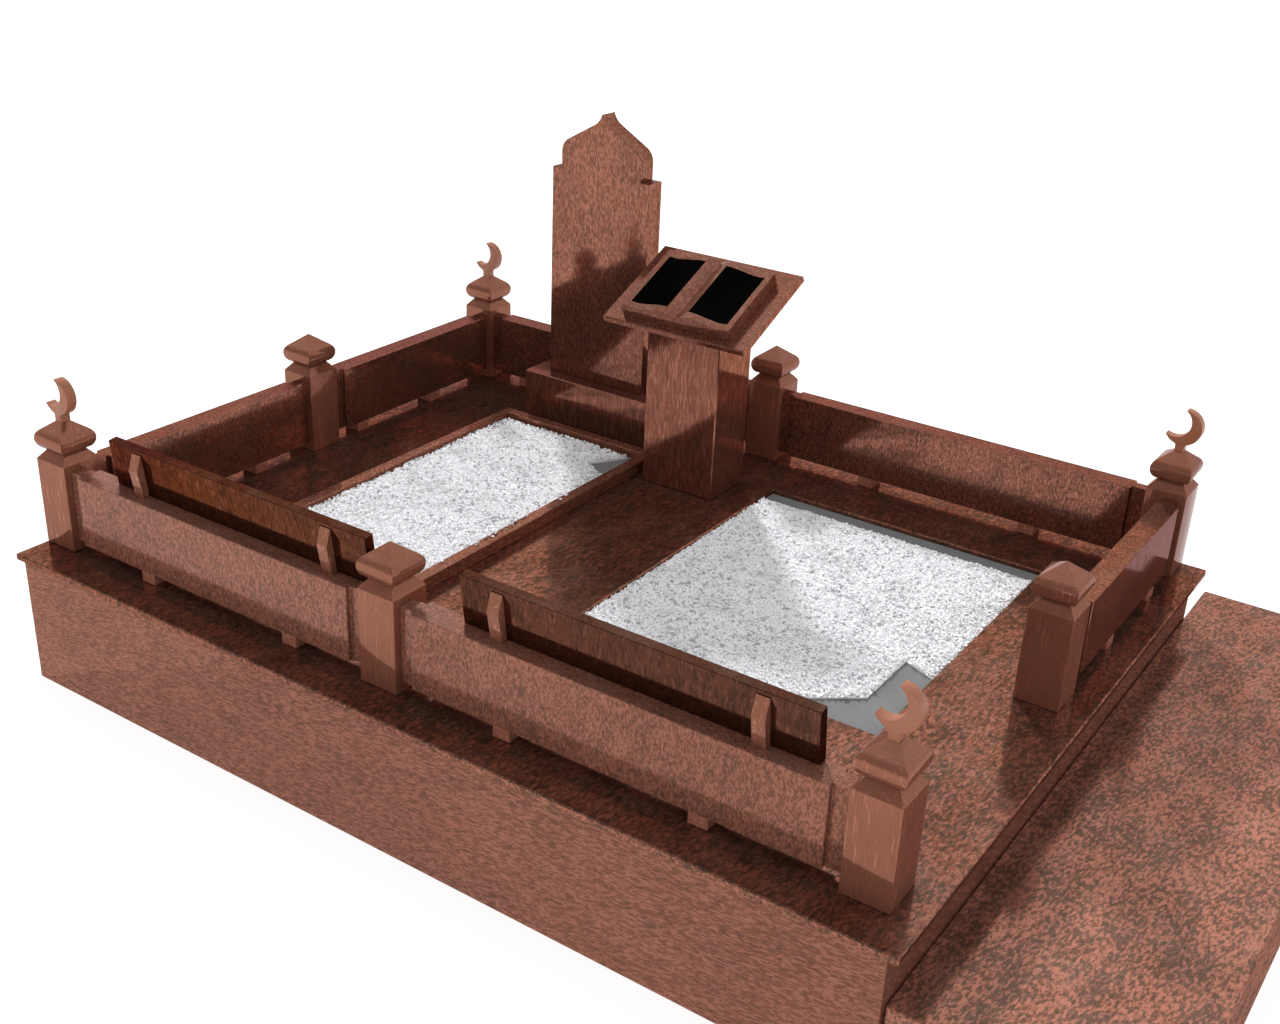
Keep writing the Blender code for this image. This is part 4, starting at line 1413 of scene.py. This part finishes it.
def build_world(stage):
    """White surroundings, dimmer high up in front, and softer on matt faces."""
    world = bpy.data.worlds.new("studio")
    bpy.context.scene.world = world
    world.use_nodes = True
    tree = world.node_tree
    background = tree.nodes["Background"]
    background.inputs["Color"].default_value = (1.0, 1.0, 1.0, 1.0)
    direction = tree.nodes.new("ShaderNodeSeparateXYZ")
    tree.links.new(tree.nodes.new("ShaderNodeTexCoord").outputs["Generated"], direction.inputs[0])
    forward = math_node(tree, "MULTIPLY", direction.outputs["Y"], -1.0)
    front = smooth_range(tree, forward, low=0.1, high=0.6)
    raised = smooth_range(tree, direction.outputs["Z"], low=0.0, high=0.25)
    dimmed = math_node(tree, "MULTIPLY", front, raised)
    mirrored = math_node(tree, "MULTIPLY_ADD", dimmed, stage.dim_side - 1.0, 1.0)
    path = tree.nodes.new("ShaderNodeLightPath")
    lighting = tree.nodes.new("ShaderNodeMix")
    lighting.inputs[3].default_value = stage.soft_light
    seen = tree.nodes.new("ShaderNodeMix")
    seen.inputs[3].default_value = 1.0
    link_all(tree, (
        (path.outputs["Is Diffuse Ray"], lighting.inputs[0]),
        (mirrored, lighting.inputs[2]),
        (path.outputs["Is Camera Ray"], seen.inputs[0]),
        (lighting.outputs[0], seen.inputs[2]),
        (seen.outputs[0], background.inputs["Strength"]),
    ))


def build_floor(stage):
    """A wide pale floor that glows a little, so that it shows white."""
    mesh = bpy.data.meshes.new("floor")
    shape = bmesh.new()
    bmesh.ops.create_grid(shape, x_segments=1, y_segments=1, size=stage.floor_size / 2)
    shape.to_mesh(mesh)
    shape.free()
    floor = bpy.data.objects.new("floor", mesh)
    floor.location.z = -FLOOR_DROP
    bpy.context.scene.collection.objects.link(floor)
    material, tree, shader, place = start_material("pale_floor")
    grain = noise_value(tree, place, scale=60.0, detail=3.0)
    colour = mix_colours(tree, grain, toned(stage.floor, 0.98), (*stage.floor, 1.0))
    tree.links.new(colour, shader.inputs["Base Color"])
    shader.inputs["Emission Color"].default_value = (1.0, 1.0, 1.0, 1.0)
    shader.inputs["Emission Strength"].default_value = stage.floor_glow
    shader.inputs["Roughness"].default_value = 0.9
    shader.inputs["Specular IOR Level"].default_value = 0.0
    mesh.materials.append(material)


def build_camera(stage):
    """A camera at the viewpoint of the photograph."""
    data = bpy.data.cameras.new("camera")
    data.lens = stage.lens
    data.sensor_width = SENSOR_WIDTH
    data.clip_end = VIEW_DISTANCE
    camera = bpy.data.objects.new("camera", data)
    bpy.context.scene.collection.objects.link(camera)
    axes = Matrix((CAMERA_RIGHT, -CAMERA_DOWN, -CAMERA_FORWARD)).transposed()
    camera.matrix_world = Matrix.Translation(stage.camera_place) @ axes.to_4x4()
    bpy.context.scene.camera = camera


class MEMORIAL_OT_set_stage(bpy.types.Operator):
    """Set up the white surroundings, the pale floor, the key light and the camera"""

    bl_idname = "memorial.set_stage"
    bl_label = "Stage"

    def execute(self, context):
        stage = settings().stage
        bpy.context.scene.view_settings.view_transform = "Standard"
        build_world(stage)
        build_floor(stage)
        build_key(stage)
        build_camera(stage)
        return {"FINISHED"}


class MemorialSettings(bpy.types.PropertyGroup):
    """All settings of the memorial"""

    granite: bpy.props.PointerProperty(type=GraniteSettings)
    posts: bpy.props.PointerProperty(type=PostSettings)
    crescents: bpy.props.PointerProperty(type=CrescentSettings)
    headstone: bpy.props.PointerProperty(type=HeadstoneSettings)
    book: bpy.props.PointerProperty(type=BookSettings)
    chips: bpy.props.PointerProperty(type=ChipSettings)
    stage: bpy.props.PointerProperty(type=StageSettings)


OPERATORS = (
    MEMORIAL_OT_dress_base,
    MEMORIAL_OT_dress_fence,
    MEMORIAL_OT_dress_tablets,
    MEMORIAL_OT_make_posts,
    MEMORIAL_OT_make_crescents,
    MEMORIAL_OT_make_headstone,
    MEMORIAL_OT_make_lectern,
    MEMORIAL_OT_make_beds,
    MEMORIAL_OT_set_stage,
)


class MEMORIAL_PT_sidebar(bpy.types.Panel):
    """Lists the memorial's settings and its steps"""

    bl_idname = "MEMORIAL_PT_sidebar"
    bl_label = "Memorial"
    bl_space_type = "VIEW_3D"
    bl_region_type = "UI"
    bl_category = "Memorial"

    def draw(self, context):
        layout = self.layout
        memorial = context.scene.memorial
        for group in ("granite", "posts", "crescents", "headstone", "book", "chips", "stage"):
            box = layout.box()
            box.label(text=group.capitalize())
            values = getattr(memorial, group)
            for label in values.bl_rna.properties.keys():
                if label not in ("rna_type", "name"):
                    box.prop(values, label)
        for operator in OPERATORS:
            layout.operator(operator.bl_idname)


CLASSES = (
    GraniteSettings,
    PostSettings,
    CrescentSettings,
    HeadstoneSettings,
    BookSettings,
    ChipSettings,
    StageSettings,
    MemorialSettings,
    *OPERATORS,
    MEMORIAL_PT_sidebar,
)


def register():
    for item in CLASSES:
        bpy.utils.register_class(item)
    bpy.types.Scene.memorial = bpy.props.PointerProperty(type=MemorialSettings)


def unregister():
    del bpy.types.Scene.memorial
    for item in reversed(CLASSES):
        bpy.utils.unregister_class(item)


def main():
    register()
    bpy.ops.memorial.dress_base()
    bpy.ops.memorial.dress_fence()
    bpy.ops.memorial.dress_tablets()
    bpy.ops.memorial.make_posts()
    bpy.ops.memorial.make_crescents()
    bpy.ops.memorial.make_headstone()
    bpy.ops.memorial.make_lectern()
    bpy.ops.memorial.make_beds()
    bpy.ops.memorial.set_stage()


if __name__ == "__main__":
    main()
